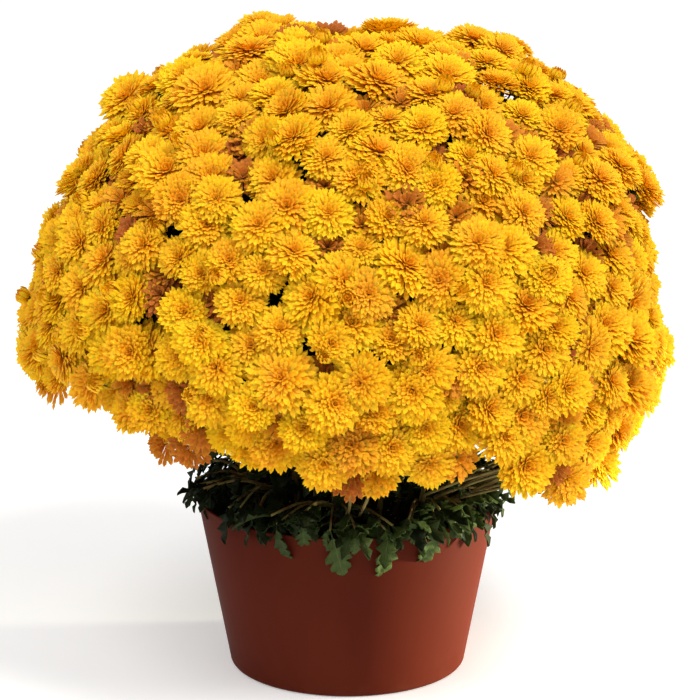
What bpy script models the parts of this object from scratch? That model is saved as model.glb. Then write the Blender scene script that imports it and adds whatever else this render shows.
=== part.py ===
"""A pot chrysanthemum: a round mound of double yellow blooms on leafy stems that stand in a filled pot.

The origin is the centre of the pot's flat base, +Z is up and the side that the photograph shows faces -Y.
Every bloom, bud, leaf and stem is placed by a rule. The blooms sit on a golden spiral over the mound, with
buds in some of the gaps, and each keeps to its own side of a plane towards every neighbour, so none cross.
"""

import itertools
import math
import random

import bmesh
import bpy
import numpy as np
from mathutils import Matrix, Vector
from mathutils.bvhtree import BVHTree
from mathutils.geometry import intersect_ray_tri

# The pot, in metres
POT_TOP_RADIUS = 0.1245
POT_BASE_RADIUS = 0.0972
POT_HEIGHT = 0.145
POT_WALL = 0.0025
POT_FLOOR = 0.0030
FOOT_ROUND = 0.0050
POT_SIDES = 32
ARC_STEPS = 2
DRAIN_HOLES = 5
DRAIN_RADIUS = 0.0050
DRAIN_SIDES = 6
DRAIN_RING_RADIUS = 0.068

# The growing mix, with its crown in the middle
SOIL_LEVEL = 0.130
SOIL_SHOULDER_RISE = 0.0035
SOIL_SHOULDER_SHARE = 0.6
SOIL_CROWN_RISE = 0.0050
SEAT_GAP = 0.0003

# The mound: radii from its centre at four polar angles, with a cubic through them
MOUND_CENTRE_HEIGHT = 0.250
MOUND_ANGLES = (0.0, 40.0, 80.0, 110.0)
MOUND_RADII = (0.272, 0.284, 0.256, 0.222)
CROWN_LEAN = 0.22
# Where the mound swells or sinks: polar angle, azimuth and width in degrees, and height
SWELLS = (
    (52.0, -60.0, 12.0, 0.004),
    (60.0, -115.0, 12.0, -0.004),
    (55.0, 80.0, 14.0, 0.005),
    (70.0, 130.0, 14.0, -0.005),
)
# The outline that the photograph shows: its tilt and reach, and where it swells or sinks. Each pair is a
# bearing in degrees, clockwise from the top, and a height in millimetres.
OUTLINE_TILT = 15.4
OUTLINE_REACH = 0.40
OUTLINE_SWELLS = (
    (-95, 4), (-58, -4), (-32, 6), (-19, 7), (7, -10), (24, 5),
    (35, -6), (52, 8), (60, -4), (75, -18), (90, 1), (103, -13),
)
# How low the heads reach on the whole, and in each direction: azimuth and polar angle in degrees
SKIRT_ANGLE = 95.0
SKIRT_LIMITS = (
    (-180.0, 92.0), (-152.0, 84.0), (-140.0, 84.0), (-130.0, 92.5), (-112.0, 90.0), (-90.0, 94.5),
    (-62.0, 91.0), (-35.0, 105.0), (-15.0, 102.0), (0.0, 98.0), (60.0, 97.0), (120.0, 95.0), (180.0, 92.0),
)
# What the heads face away from, a little towards the light, and what the stems fork towards
FACING_CENTRE = Vector((0.0, 0.085, 0.190))
FORK_CENTRE = Vector((0.0, 0.0, 0.200))

# The heads: blooms, and buds between them
SEED = 14
BLOOM_COUNT = 470
BUD_COUNT = 58
SPRAY_COUNT = 20
PLACE_JITTER = 0.17
POLE_WIDTH = 0.2
HEIGHT_JITTER = 0.0055
SPRAY_BULGE = 0.0050
FACING_JITTER = 0.10
SIZE_SPREAD = 0.15
BLOOM_RADIUS = 0.0225
BLOOM_PETALS = 5
BLOOM_HEART = 0.0095
BLOOM_ROOT = 0.0110
SHORT_PETAL = 0.86
SHORT_PETAL_LIFT = 0.0030
BLOOM_NOTCH = 0.74
BLOOM_NOTCH_DROP = 0.0030
BUD_RADIUS = 0.0075
BUD_PETALS = 3
BUD_NOTCH = 0.92
BUD_RISE = 0.0040
CELL_GAP = 0.0002
NEIGHBOUR_REACH = 0.095
FACES_TRIED = 4

# The stems
STEM_RADII = (0.0028, 0.0028, 0.0024, 0.0020)
STEM_SIDES = 4
PLANTING_RADIUS = 0.078
PLANTING_DEPTH = 0.022
PLANTING_CROWDING = 0.8
STEM_TOP_LEAN = 0.06
STEM_BEND_RISE = 0.35
FORK_DEPTH = 0.078
BRANCHES = 3
BRANCH_RADII = (0.0017, 0.0013)
BRANCH_SIDES = 3
BRANCH_SINK = 0.0026

# The leaves: one on each stem's way up, and some on low shoots out over the pot's rim
LEAF_STATION = 0.5
RIM_STEMS = 9
RIM_SHOOT_STATION = 0.12
RIM_SHOOT_TURNS = (-0.16, 0.18)
RIM_SHOOT_END_RADIUS = 0.123
RIM_SHOOT_END_HEIGHTS = (0.164, 0.180)
RISING_TILTS = (-0.2, 0.7)
HANGING_TILTS = (-1.6, -0.2)
LEAF_SWING = 0.9
LEAF_ROLL = 0.4
LEAF_TRIES = 40
LEAF_LENGTH = 0.042
LEAF_WIDTH = 0.028
LEAF_THICKNESS = 0.0012
LEAF_HEART = 0.45
LEAF_DROOP = 0.22
LEAF_FOLD = 0.20
LEAF_SINK = 0.0025
# Half of the leaf's lobed outline, as shares of its length and width
LEAF_HALF = ((0.20, 0.340), (0.34, 0.190), (0.58, 0.500), (0.70, 0.240))

GOLDEN_ANGLE = math.pi * (3.0 - math.sqrt(5.0))
UP = Vector((0.0, 0.0, 1.0))
COLOURS = {
    "petals": ((0.85, 0.45, 0.01, 1.0), 0.55),
    "leaves": ((0.035, 0.085, 0.020, 1.0), 0.55),
    "pot": ((0.17, 0.036, 0.016, 1.0), 0.50),
    "soil": ((0.030, 0.020, 0.014, 1.0), 0.95),
}


def clear_scene():
    for obj in list(bpy.data.objects):
        bpy.data.objects.remove(obj)


def material(slot):
    """The Principled material of one of the slots in COLOURS."""
    found = bpy.data.materials.get(slot)
    if found:
        return found
    colour, roughness = COLOURS[slot]
    made = bpy.data.materials.new(slot)
    made.use_nodes = True
    shader = made.node_tree.nodes["Principled BSDF"]
    shader.inputs["Base Color"].default_value = colour
    shader.inputs["Roughness"].default_value = roughness
    shader.inputs["Metallic"].default_value = 0.0
    return made


def add_object(name, bm, slot, collection=None):
    """Turns a bmesh into a named object with the slot's material."""
    bmesh.ops.recalc_face_normals(bm, faces=bm.faces)
    mesh = bpy.data.meshes.new(name)
    bm.to_mesh(mesh)
    bm.free()
    mesh.materials.append(material(slot))
    obj = bpy.data.objects.new(name, mesh)
    (collection or bpy.context.scene.collection).objects.link(obj)
    return obj


def cut(obj, cutter):
    """A live Boolean difference; the cutter stays as a hidden guide."""
    cutter.hide_render = True
    cutter.display_type = "WIRE"
    modifier = obj.modifiers.new("holes", "BOOLEAN")
    modifier.operation = "DIFFERENCE"
    modifier.solver = "EXACT"
    modifier.object = cutter


def fuse(trunk, members):
    """Joins a collection's objects to the trunk by one applied Boolean union, and removes them."""
    modifier = trunk.modifiers.new("joined", "BOOLEAN")
    modifier.operation = "UNION"
    modifier.solver = "MANIFOLD"
    modifier.operand_type = "COLLECTION"
    modifier.collection = members
    graph = bpy.context.evaluated_depsgraph_get()
    joined = bpy.data.meshes.new_from_object(trunk.evaluated_get(graph))
    trunk.modifiers.remove(modifier)
    trunk.data = joined
    for obj in list(members.objects):
        bpy.data.objects.remove(obj)
    bpy.data.collections.remove(members)


def touch_tree(obj):
    """The tree that tells what would touch the finished object, its holes included."""
    return BVHTree.FromObject(obj, bpy.context.evaluated_depsgraph_get())


# Shapes


def turned(profile, sides):
    """A closed solid of revolution about Z from (radius, height) points that start and end on the axis."""
    bm = bmesh.new()
    verts = [bm.verts.new((r, 0.0, z)) for r, z in profile]
    edges = [bm.edges.new(pair) for pair in zip(verts, verts[1:])]
    bmesh.ops.spin(
        bm, geom=verts + edges, cent=(0, 0, 0), axis=(0, 0, 1), angle=math.tau, steps=sides,
        use_merge=True,
    )
    bmesh.ops.remove_doubles(bm, verts=bm.verts, dist=1e-6)
    return bm


def arc(centre, radius, start_deg, end_deg):
    """Points of an arc in the (radius, height) plane."""
    angles = np.radians(np.linspace(start_deg, end_deg, ARC_STEPS + 1))
    return [(centre[0] + radius * math.cos(a), centre[1] + radius * math.sin(a)) for a in angles]


def add_tube(bm, points, radii, sides):
    """Adds a closed tube through the points, with a radius at each and a flat cap at both ends."""
    last = len(points) - 1
    rings = []
    for k, point in enumerate(points):
        ahead = points[min(k + 1, last)] - points[max(k - 1, 0)]
        turn = ahead.to_track_quat("Z", "Y").to_matrix().to_4x4()
        place = Matrix.Translation(point) @ turn
        ring = bmesh.ops.create_circle(
            bm, cap_ends=k in (0, last), segments=sides, radius=radii[k], matrix=place
        )
        rings.append(ring["verts"])
    for low, high in zip(rings, rings[1:]):
        edges = {e for ring in (low, high) for v in ring for e in v.link_edges if e.other_vert(v) in ring}
        bmesh.ops.bridge_loops(bm, edges=list(edges))


def tube(points, radii, sides):
    bm = bmesh.new()
    add_tube(bm, points, radii, sides)
    return bm


def heading(polar, azimuth):
    """The direction at a polar angle from straight up and an azimuth from +X."""
    return Vector((math.sin(polar) * math.cos(azimuth), math.sin(polar) * math.sin(azimuth), math.cos(polar)))


# The pot and what fills it


def pot_side_radius(height):
    """Outer radius of the pot's straight side at a height."""
    taper = (POT_TOP_RADIUS - POT_BASE_RADIUS) / POT_HEIGHT
    return POT_BASE_RADIUS + taper * height


def pot_inner_radius(height):
    return pot_side_radius(height) - POT_WALL


def build_pot():
    """Plain tapered pot with a rounded foot, a rounded lip and drain holes in its floor."""
    foot_centre = (pot_side_radius(FOOT_ROUND) - FOOT_ROUND, FOOT_ROUND)
    lip = POT_WALL / 2
    lip_centre = (pot_side_radius(POT_HEIGHT) - lip, POT_HEIGHT - lip)
    profile = [(0.0, 0.0)]
    profile += arc(foot_centre, FOOT_ROUND, -90.0, 0.0)
    profile += arc(lip_centre, lip, 0.0, 180.0)
    profile += [(pot_inner_radius(POT_FLOOR), POT_FLOOR), (0.0, POT_FLOOR)]
    pot = add_object("pot", turned(profile, POT_SIDES), "pot")
    holes = bmesh.new()
    for k in range(DRAIN_HOLES):
        turn = Matrix.Rotation(math.tau * (k + 0.5) / DRAIN_HOLES, 4, "Z")
        bmesh.ops.create_cone(
            holes, cap_ends=True, segments=DRAIN_SIDES, radius1=DRAIN_RADIUS, radius2=DRAIN_RADIUS,
            depth=POT_FLOOR * 3, matrix=turn @ Matrix.Translation((DRAIN_RING_RADIUS, 0.0, POT_FLOOR / 2)),
        )
    cut(pot, add_object("drain_cutter", holes, "pot"))
    return pot


def build_growing_mix(stem_lines):
    """The growing mix, clear of the pot all round, with a plain hole for each stem."""
    floor = POT_FLOOR + SEAT_GAP
    top_radius = pot_inner_radius(SOIL_LEVEL) - 2 * SEAT_GAP
    profile = [
        (0.0, floor),
        (pot_inner_radius(floor) - 2 * SEAT_GAP, floor),
        (top_radius, SOIL_LEVEL),
        (top_radius * SOIL_SHOULDER_SHARE, SOIL_LEVEL + SOIL_SHOULDER_RISE),
        (0.0, SOIL_LEVEL + SOIL_CROWN_RISE),
    ]
    mix = add_object("growing_mix", turned(profile, POT_SIDES // 2), "soil")
    holes = bmesh.new()
    for foot, top, *_ in stem_lines:
        ends = [foot - UP * SEAT_GAP, top * 2 - foot]
        add_tube(holes, ends, [STEM_RADII[0] + SEAT_GAP] * 2, STEM_SIDES)
    cut(mix, add_object("stem_hole_cutter", holes, "soil"))
    return mix


# The mound and its heads


def mound_point(polar, azimuth, lift=0.0):
    """A point of the mound's surface, or lift metres above it."""
    radius = float(np.polyval(np.polyfit(MOUND_ANGLES, MOUND_RADII, 3), math.degrees(polar))) + lift
    for swell_polar, swell_azimuth, width, height in SWELLS:
        middle = heading(math.radians(swell_polar), math.radians(swell_azimuth))
        away = math.degrees(heading(polar, azimuth).angle(middle))
        radius += height * math.exp(-((away / width) ** 2))
    seen = Matrix.Rotation(math.radians(OUTLINE_TILT), 3, "X") @ heading(polar, azimuth)
    bearing = math.degrees(math.atan2(seen.x, seen.z))
    standing_out = float(np.interp(bearing, *zip(*OUTLINE_SWELLS)))
    radius += standing_out / 1000 * math.exp(-((seen.y / OUTLINE_REACH) ** 2))
    offset = heading(polar, azimuth) * radius
    lean = CROWN_LEAN * max(offset.z, 0.0) ** 2
    return offset + Vector((lean, 0.0, MOUND_CENTRE_HEIGHT))


def spiral(count, draw=None):
    """Polar angle and azimuth of evenly spread sites over the mound, down to its skirt."""
    cap = 1.0 - math.cos(math.radians(SKIRT_ANGLE))
    jitter = PLACE_JITTER * math.sqrt(math.tau * cap / count)
    sites = []
    for k in range(count):
        share = (k + 0.5) / count
        polar = math.acos(1.0 - share * cap)
        azimuth = k * GOLDEN_ANGLE
        if draw:
            polar = abs(polar + draw.uniform(-1, 1) * jitter)
            azimuth += draw.uniform(-1, 1) * jitter / max(math.sin(polar), POLE_WIDTH)
        compass = math.degrees(math.atan2(math.sin(azimuth), math.cos(azimuth)))
        drop = float(np.interp(compass, *zip(*SKIRT_LIMITS))) / SKIRT_ANGLE - 1.0
        sites.append((polar * (1.0 + share * drop), azimuth))
    return sites


def gap_sites(sites, count):
    """Sites for the buds: the middle of every few sites and their two nearest neighbours."""
    ways = [heading(*site) for site in sites]
    found = []
    for k in range(count):
        first = ways[(2 * k + 1) * len(sites) // (2 * count)]
        middle = sum(sorted(ways, key=lambda way: -way.dot(first))[:3], Vector()).normalized()
        found.append((math.acos(middle.z), math.atan2(middle.y, middle.x)))
    return found


class Head:
    """One bloom or bud: its place, the way it faces, its radius and the spray that it belongs to."""

    def __init__(self, site, axes, draw, is_bud):
        nearness = [heading(*site).dot(axis) for axis in axes]
        self.spray = nearness.index(max(nearness))
        self.is_bud = is_bud
        off_axis = math.acos(min(1.0, max(nearness))) * math.sqrt(len(axes)) / 2
        lift = SPRAY_BULGE * (1.0 - 2.0 * off_axis**2) + draw.uniform(-1, 1) * HEIGHT_JITTER
        self.place = mound_point(*site, lift + (BUD_RISE if is_bud else 0.0))
        wobble = Vector([draw.gauss(0, 1) for _ in range(3)]) * FACING_JITTER
        self.facing = ((self.place - FACING_CENTRE).normalized() + wobble).normalized()
        self.turn = draw.uniform(0, math.tau)
        self.radius = (BUD_RADIUS if is_bud else BLOOM_RADIUS) * (1.0 + draw.uniform(-1, 1) * SIZE_SPREAD)
        self.root = None

    def across(self):
        """Two directions across the head, at right angles."""
        side = Matrix.Rotation(self.turn, 3, self.facing) @ self.facing.orthogonal().normalized()
        return side, self.facing.cross(side)

    def held(self, offset, others):
        """An offset from the head's place, shortened to stay on its side of the plane to each other head."""
        share = 1.0
        for other in others:
            way = other.place - self.place
            along = offset.dot(way)
            if along > 0.0:
                part = self.radius / (self.radius + other.radius)
                share = min(share, (way.length_squared * part - CELL_GAP * way.length) / along)
        return offset * share

    def add_to(self, bm, others):
        """Adds the head and returns its underside: petals long and short by turns round a raised heart."""
        if self.is_bud:
            petals, notch, notch_drop, heart, root = BUD_PETALS, BUD_NOTCH, 0.0, self.radius, self.radius
        else:
            petals, notch, notch_drop = BLOOM_PETALS, BLOOM_NOTCH, BLOOM_NOTCH_DROP
            heart, root = BLOOM_HEART, BLOOM_ROOT
        side, other_side = self.across()
        tips = []
        for k in range(petals):
            angle = math.tau * k / petals
            way = side * math.cos(angle) + other_side * math.sin(angle)
            if k % 2 and not self.is_bud:
                way = way * SHORT_PETAL + self.facing * SHORT_PETAL_LIFT / self.radius
            tips.append(self.held(way * self.radius, others))
        ring = []
        for tip, after in zip(tips, tips[1:] + tips[:1]):
            between = (tip + after) * notch / 2 / math.cos(math.pi / petals)
            ring += [tip, self.held(between - self.facing * notch_drop, others)]
        ring = [bm.verts.new(self.place + offset) for offset in ring]
        self.root = self.place + self.held(-self.facing * root, others)
        upper = bm.verts.new(self.place + self.held(self.facing * heart, others))
        lower = bm.verts.new(self.root)
        underside = []
        for a, b in zip(ring, ring[1:] + ring[:1]):
            bm.faces.new((a, b, upper))
            underside.append(bm.faces.new((b, a, lower)))
        return underside


def place_heads():
    """All the heads, each given to the spray whose axis it lies nearest to."""
    draw = random.Random(SEED)
    axes = [heading(*site) for site in spiral(SPRAY_COUNT)]
    sites = spiral(BLOOM_COUNT, draw)
    blooms = [Head(site, axes, draw, False) for site in sites]
    return blooms + [Head(site, axes, draw, True) for site in gap_sites(sites, BUD_COUNT)]


class Bridge:
    """A way between two heads of a spray: an underside face of each is opened and walls join their rims."""

    def __init__(self, first, first_face, second, second_face):
        self.opened = (first_face, second_face)
        left = first.facing.cross(second.place - first.place)
        rims = []
        for face, head in zip(self.opened, (first, second)):
            root = min(face.verts, key=lambda vert: (vert.co - head.root).length)
            outer = [vert for vert in face.verts if vert != root]
            rims.append((*sorted(outer, key=lambda vert: -vert.co.dot(left)), root))
        self.walls = []
        for k in range(3):
            after = (k + 1) % 3
            a, b, c, d = rims[0][k], rims[0][after], rims[1][after], rims[1][k]
            if (a.co - c.co).length < (b.co - d.co).length:
                self.walls += [(a, b, c), (a, c, d)]
            else:
                self.walls += [(a, b, d), (b, c, d)]

    def is_clear(self, bm, barriers):
        """Whether the walls cross no barrier, no face of the spray and none of each other."""
        corners = list({vert for wall in self.walls for vert in wall})
        tree = BVHTree.FromPolygons(
            [vert.co for vert in corners], [[corners.index(vert) for vert in wall] for wall in self.walls]
        )
        if any(tree.overlap(barrier) for barrier in barriers):
            return False
        bm.faces.ensure_lookup_table()
        for mine, other in tree.overlap(BVHTree.FromBMesh(bm)):
            face = bm.faces[other]
            if face not in self.opened and triangles_cross(self.walls[mine], tuple(face.verts)):
                return False
        meeting = ((self.walls[a], self.walls[b]) for a, b in tree.overlap(tree) if a < b)
        return not any(triangles_cross(one, two) for one, two in meeting)

    def build(self, bm):
        bmesh.ops.delete(bm, geom=list(self.opened), context="FACES_ONLY")
        for wall in self.walls:
            bm.faces.new(wall)


def triangles_cross(one, two):
    """Whether two triangles meet anywhere but at the corners or the edge that they share."""
    shared = [vert for vert in one if vert in two]
    if len(shared) > 1:
        return False
    for tri, other in ((one, two), (two, one)):
        for k in range(3):
            start, end = other[k], other[(k + 1) % 3]
            if start in shared or end in shared:
                continue
            way = end.co - start.co
            hit = intersect_ray_tri(*(vert.co for vert in tri), way, start.co, True)
            if hit and (hit - start.co).length < way.length:
                return True
    return False


class Spray:
    """The blooms and buds of one spray, joined below their petals into one body."""

    def __init__(self, number, heads, all_heads):
        self.number = number
        self.heads = heads
        self.bm = bmesh.new()
        self.undersides = []
        for head in heads:
            near = (h for h in all_heads if (h.place - head.place).length < NEIGHBOUR_REACH)
            self.undersides.append(head.add_to(self.bm, [h for h in near if h is not head]))
        self.tree = BVHTree.FromBMesh(self.bm)

    def facing_faces(self, a, b):
        """The underside faces of head a that look most towards head b."""
        place = self.heads[a].place
        way = self.heads[b].place - place

        def turned_away(face):
            return -(face.calc_center_median() - place).normalized().dot(way)

        return sorted(self.undersides[a], key=turned_away)[:FACES_TRIED]

    def clear_bridge(self, a, b, barriers):
        """The first bridge between heads a and b that crosses nothing, or None."""
        for first_face in self.facing_faces(a, b):
            for second_face in self.facing_faces(b, a):
                bridge = Bridge(self.heads[a], first_face, self.heads[b], second_face)
                if bridge.is_clear(self.bm, barriers):
                    return bridge
        return None

    def join(self, others):
        """Bridges pairs of heads, the nearest first, until all of them hold together."""
        barriers = [spray.tree for spray in others if spray is not self]
        group = list(range(len(self.heads)))

        def distance(pair):
            return (self.heads[pair[0]].place - self.heads[pair[1]].place).length

        for a, b in sorted(itertools.combinations(group, 2), key=distance):
            bridge = self.clear_bridge(a, b, barriers) if group[a] != group[b] else None
            if bridge:
                self.undersides[a].remove(bridge.opened[0])
                self.undersides[b].remove(bridge.opened[1])
                bridge.build(self.bm)
                group = [group[a] if member == group[b] else member for member in group]
        self.tree = BVHTree.FromBMesh(self.bm)

    def build(self):
        return add_object(f"blooms_{self.number:02d}", self.bm, "petals")


# Stems and leaves


def stem_line(heads, polar, azimuth):
    """The stem's points: its foot in the mix, its way out of the mix, its bend and its fork."""
    out = PLANTING_RADIUS * (polar / math.radians(SKIRT_ANGLE)) ** PLANTING_CROWDING
    foot = heading(math.pi / 2, azimuth) * out + UP * (SOIL_LEVEL - PLANTING_DEPTH)
    centre = sum((h.place for h in heads), Vector()) / len(heads)
    fork = centre + (FORK_CENTRE - centre).normalized() * FORK_DEPTH
    clear = foot + UP * (PLANTING_DEPTH + 2 * SOIL_CROWN_RISE)
    top = clear + (fork - foot) * STEM_TOP_LEAN
    upright = clear + UP * (fork.z - foot.z) * STEM_BEND_RISE
    return [foot, top, top / 4 + upright / 2 + fork / 4, fork]


def leaf(place, way, roll):
    """A lobed blade, thick at its heart and thin at its edge, folded on its rib and drooping to its tip."""
    half = [(x * LEAF_LENGTH, y * LEAF_WIDTH) for x, y in LEAF_HALF]
    outline = [(0.0, 0.0)] + half + [(LEAF_LENGTH, 0.0)] + [(x, -y) for x, y in reversed(half)]

    def height(x, y):
        return abs(y) * LEAF_FOLD - LEAF_DROOP * x * x / LEAF_LENGTH

    bm = bmesh.new()
    edge = [bm.verts.new((x, y, height(x, y))) for x, y in outline]
    heart = LEAF_HEART * LEAF_LENGTH
    upper = bm.verts.new((heart, 0.0, height(heart, 0.0) + LEAF_THICKNESS / 2))
    lower = bm.verts.new((heart, 0.0, height(heart, 0.0) - LEAF_THICKNESS / 2))
    for a, b in zip(edge, edge[1:] + edge[:1]):
        bm.faces.new((b, a, upper))
        bm.faces.new((a, b, lower))
    side = UP.cross(way).normalized()
    turn = Matrix((way, side, way.cross(side))).transposed().to_4x4() @ Matrix.Rotation(roll, 4, "X")
    bmesh.ops.transform(bm, verts=bm.verts, matrix=Matrix.Translation(place - way * LEAF_SINK) @ turn)
    return bm


class LeafyStem:
    """One stem with its branches up to the blooms and its leaves, all joined into one body."""

    def __init__(self, number, heads, site):
        self.number = number
        self.heads = heads
        self.azimuth = site[1]
        self.line = stem_line(heads, *site)
        self.pieces = []
        self.trees = []
        self.leaf_trees = []
        self.keep(tube(self.line, STEM_RADII, STEM_SIDES))

    def keep(self, bm):
        """Keeps a piece of the stem, with the tree that tells what would touch it."""
        self.pieces.append(bm)
        self.trees.append(BVHTree.FromBMesh(bm))

    def is_clear(self, bm, barriers, stems):
        """Whether a new piece touches no barrier and no other stem."""
        tree = BVHTree.FromBMesh(bm)
        others = [other for stem in stems if stem is not self for other in stem.trees]
        return not any(tree.overlap(other) for other in barriers + others)

    def grow_branches(self, barriers, stems):
        """Branches from the fork to the undersides of blooms that lie spread round the spray."""
        fork = self.line[-1]
        along = (fork - self.line[-2]).normalized()
        side = along.orthogonal()
        other_side = along.cross(side)

        def turn_of(head):
            way = head.place - fork
            return math.atan2(way.dot(other_side), way.dot(side))

        ordered = sorted((head for head in self.heads if not head.is_bud), key=turn_of)
        shares = [k * len(ordered) // BRANCHES for k in range(BRANCHES + 1)]
        for first, end in zip(shares, shares[1:]):
            for head in ordered[first:end]:
                ends = [fork - along * BRANCH_SINK, head.root - head.facing * 2 * SEAT_GAP]
                branch = tube(ends, BRANCH_RADII, BRANCH_SIDES)
                if self.is_clear(branch, barriers, stems):
                    self.keep(branch)
                    break
                branch.free()

    def grow_leaf(self, place, outward, tilts, draw, barriers, stems):
        """One leaf at the place, at the first of a few seeded tries that leaves everything else clear."""
        for _ in range(LEAF_TRIES):
            way = Matrix.Rotation(draw.uniform(-LEAF_SWING, LEAF_SWING), 3, "Z") @ outward
            way = (way + UP * draw.uniform(*tilts)).normalized()
            blade = leaf(place, way, draw.uniform(-LEAF_ROLL, LEAF_ROLL))
            if self.is_clear(blade, barriers + self.leaf_trees, stems):
                self.keep(blade)
                self.leaf_trees.append(self.trees[-1])
                return
            blade.free()

    def grow_rising_leaf(self, draw, barriers, stems):
        place = self.line[1].lerp(self.line[2], LEAF_STATION)
        self.grow_leaf(place, heading(math.pi / 2, self.azimuth), RISING_TILTS, draw, barriers, stems)

    def grow_rim_shoots(self, draw, barriers, stems):
        """Low shoots that carry leaves out over the pot's rim."""
        start = self.line[1].lerp(self.line[2], RIM_SHOOT_STATION)
        for turn in RIM_SHOOT_TURNS:
            outward = heading(math.pi / 2, self.azimuth + turn)
            end = outward * RIM_SHOOT_END_RADIUS + UP * draw.uniform(*RIM_SHOOT_END_HEIGHTS)
            shoot = tube([start, end], BRANCH_RADII, BRANCH_SIDES)
            if self.is_clear(shoot, barriers, stems):
                self.keep(shoot)
                self.grow_leaf(end, outward, HANGING_TILTS, draw, barriers, stems)
            else:
                shoot.free()

    def build(self):
        """Joins the stem's pieces into one object."""
        members = bpy.data.collections.new("stem_pieces")
        bpy.context.scene.collection.children.link(members)
        trunk = add_object(f"leafy_stem_{self.number:02d}", self.pieces[0], "leaves")
        for piece in self.pieces[1:]:
            add_object("stem_piece", piece, "leaves", members)
        fuse(trunk, members)


def main():
    clear_scene()
    heads = place_heads()
    groups = [[head for head in heads if head.spray == k] for k in range(SPRAY_COUNT)]
    sprays = [Spray(number, group, heads) for number, group in enumerate(groups, 1)]
    for spray in sprays:
        spray.join(sprays)
    sites = spiral(SPRAY_COUNT)
    stems = [LeafyStem(number, *pair) for number, pair in enumerate(zip(groups, sites), 1)]
    solids = [spray.build() for spray in sprays]
    solids += [build_pot(), build_growing_mix([stem.line for stem in stems])]
    barriers = [touch_tree(obj) for obj in solids]
    draw = random.Random(SEED + 1)
    for stem in stems:
        stem.grow_branches(barriers, stems)
    for stem in stems[-RIM_STEMS:]:
        stem.grow_rim_shoots(draw, barriers, stems)
    for stem in stems:
        stem.grow_rising_leaf(draw, barriers, stems)
    for stem in stems:
        stem.build()


main()
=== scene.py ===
"""The looks of a pot chrysanthemum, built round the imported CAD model.

The blooms, buds, stems and leaves stand where the CAD has them, by the same seeded rules. Each bloom is
made of about 250 petals in turns, and a bloom that meets a neighbour spreads over it or is tucked under it.
"""

import logging
import math
import random
from dataclasses import dataclass, field
from enum import Enum
from typing import Any, Sequence, Union

import bmesh
import bpy
import numpy as np
from mathutils import Matrix, Vector, noise


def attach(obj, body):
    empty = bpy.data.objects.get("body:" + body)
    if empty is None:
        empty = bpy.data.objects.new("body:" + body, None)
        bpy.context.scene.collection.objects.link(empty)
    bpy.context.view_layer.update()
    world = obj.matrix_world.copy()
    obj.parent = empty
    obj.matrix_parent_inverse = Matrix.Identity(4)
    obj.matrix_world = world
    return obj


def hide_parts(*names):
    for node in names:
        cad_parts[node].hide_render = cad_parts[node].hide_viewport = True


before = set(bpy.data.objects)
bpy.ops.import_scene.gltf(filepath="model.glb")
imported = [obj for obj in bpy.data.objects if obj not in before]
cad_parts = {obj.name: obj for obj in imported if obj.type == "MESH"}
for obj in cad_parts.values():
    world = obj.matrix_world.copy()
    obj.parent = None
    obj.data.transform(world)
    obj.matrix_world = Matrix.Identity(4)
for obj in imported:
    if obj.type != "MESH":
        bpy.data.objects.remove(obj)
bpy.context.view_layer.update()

log = logging.getLogger("pot_chrysanthemum")

BODY = "root"
UP = Vector((0.0, 0.0, 1.0))
GOLDEN_ANGLE = math.pi * (3.0 - math.sqrt(5.0))
LAYOUT_SEED = 14
PICTURE_SIZE = 700

Numbers = Union["Link", float]


# Shader maths


class Link:
    """A socket of a material, with arithmetic that adds the nodes for it."""

    def __init__(self, paint: "Paint", socket: bpy.types.NodeSocket) -> None:
        """Wraps a socket.

        Args:
            paint: The material that the socket belongs to.
            socket: The output socket.
        """
        self.paint = paint
        self.socket = socket

    def __add__(self, other: Numbers) -> "Link":
        """The sum of two values."""
        return self.paint.maths("ADD", self, other)

    def __radd__(self, other: Numbers) -> "Link":
        """The sum of two values, the number first."""
        return self.paint.maths("ADD", other, self)

    def __sub__(self, other: Numbers) -> "Link":
        """This value less another."""
        return self.paint.maths("SUBTRACT", self, other)

    def __rsub__(self, other: Numbers) -> "Link":
        """A number less this value."""
        return self.paint.maths("SUBTRACT", other, self)

    def __mul__(self, other: Numbers) -> "Link":
        """The product of two values."""
        return self.paint.maths("MULTIPLY", self, other)

    def __rmul__(self, other: Numbers) -> "Link":
        """The product of two values, the number first."""
        return self.paint.maths("MULTIPLY", other, self)

    def __pow__(self, other: Numbers) -> "Link":
        """This value to a power."""
        return self.paint.maths("POWER", self, other)


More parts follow.
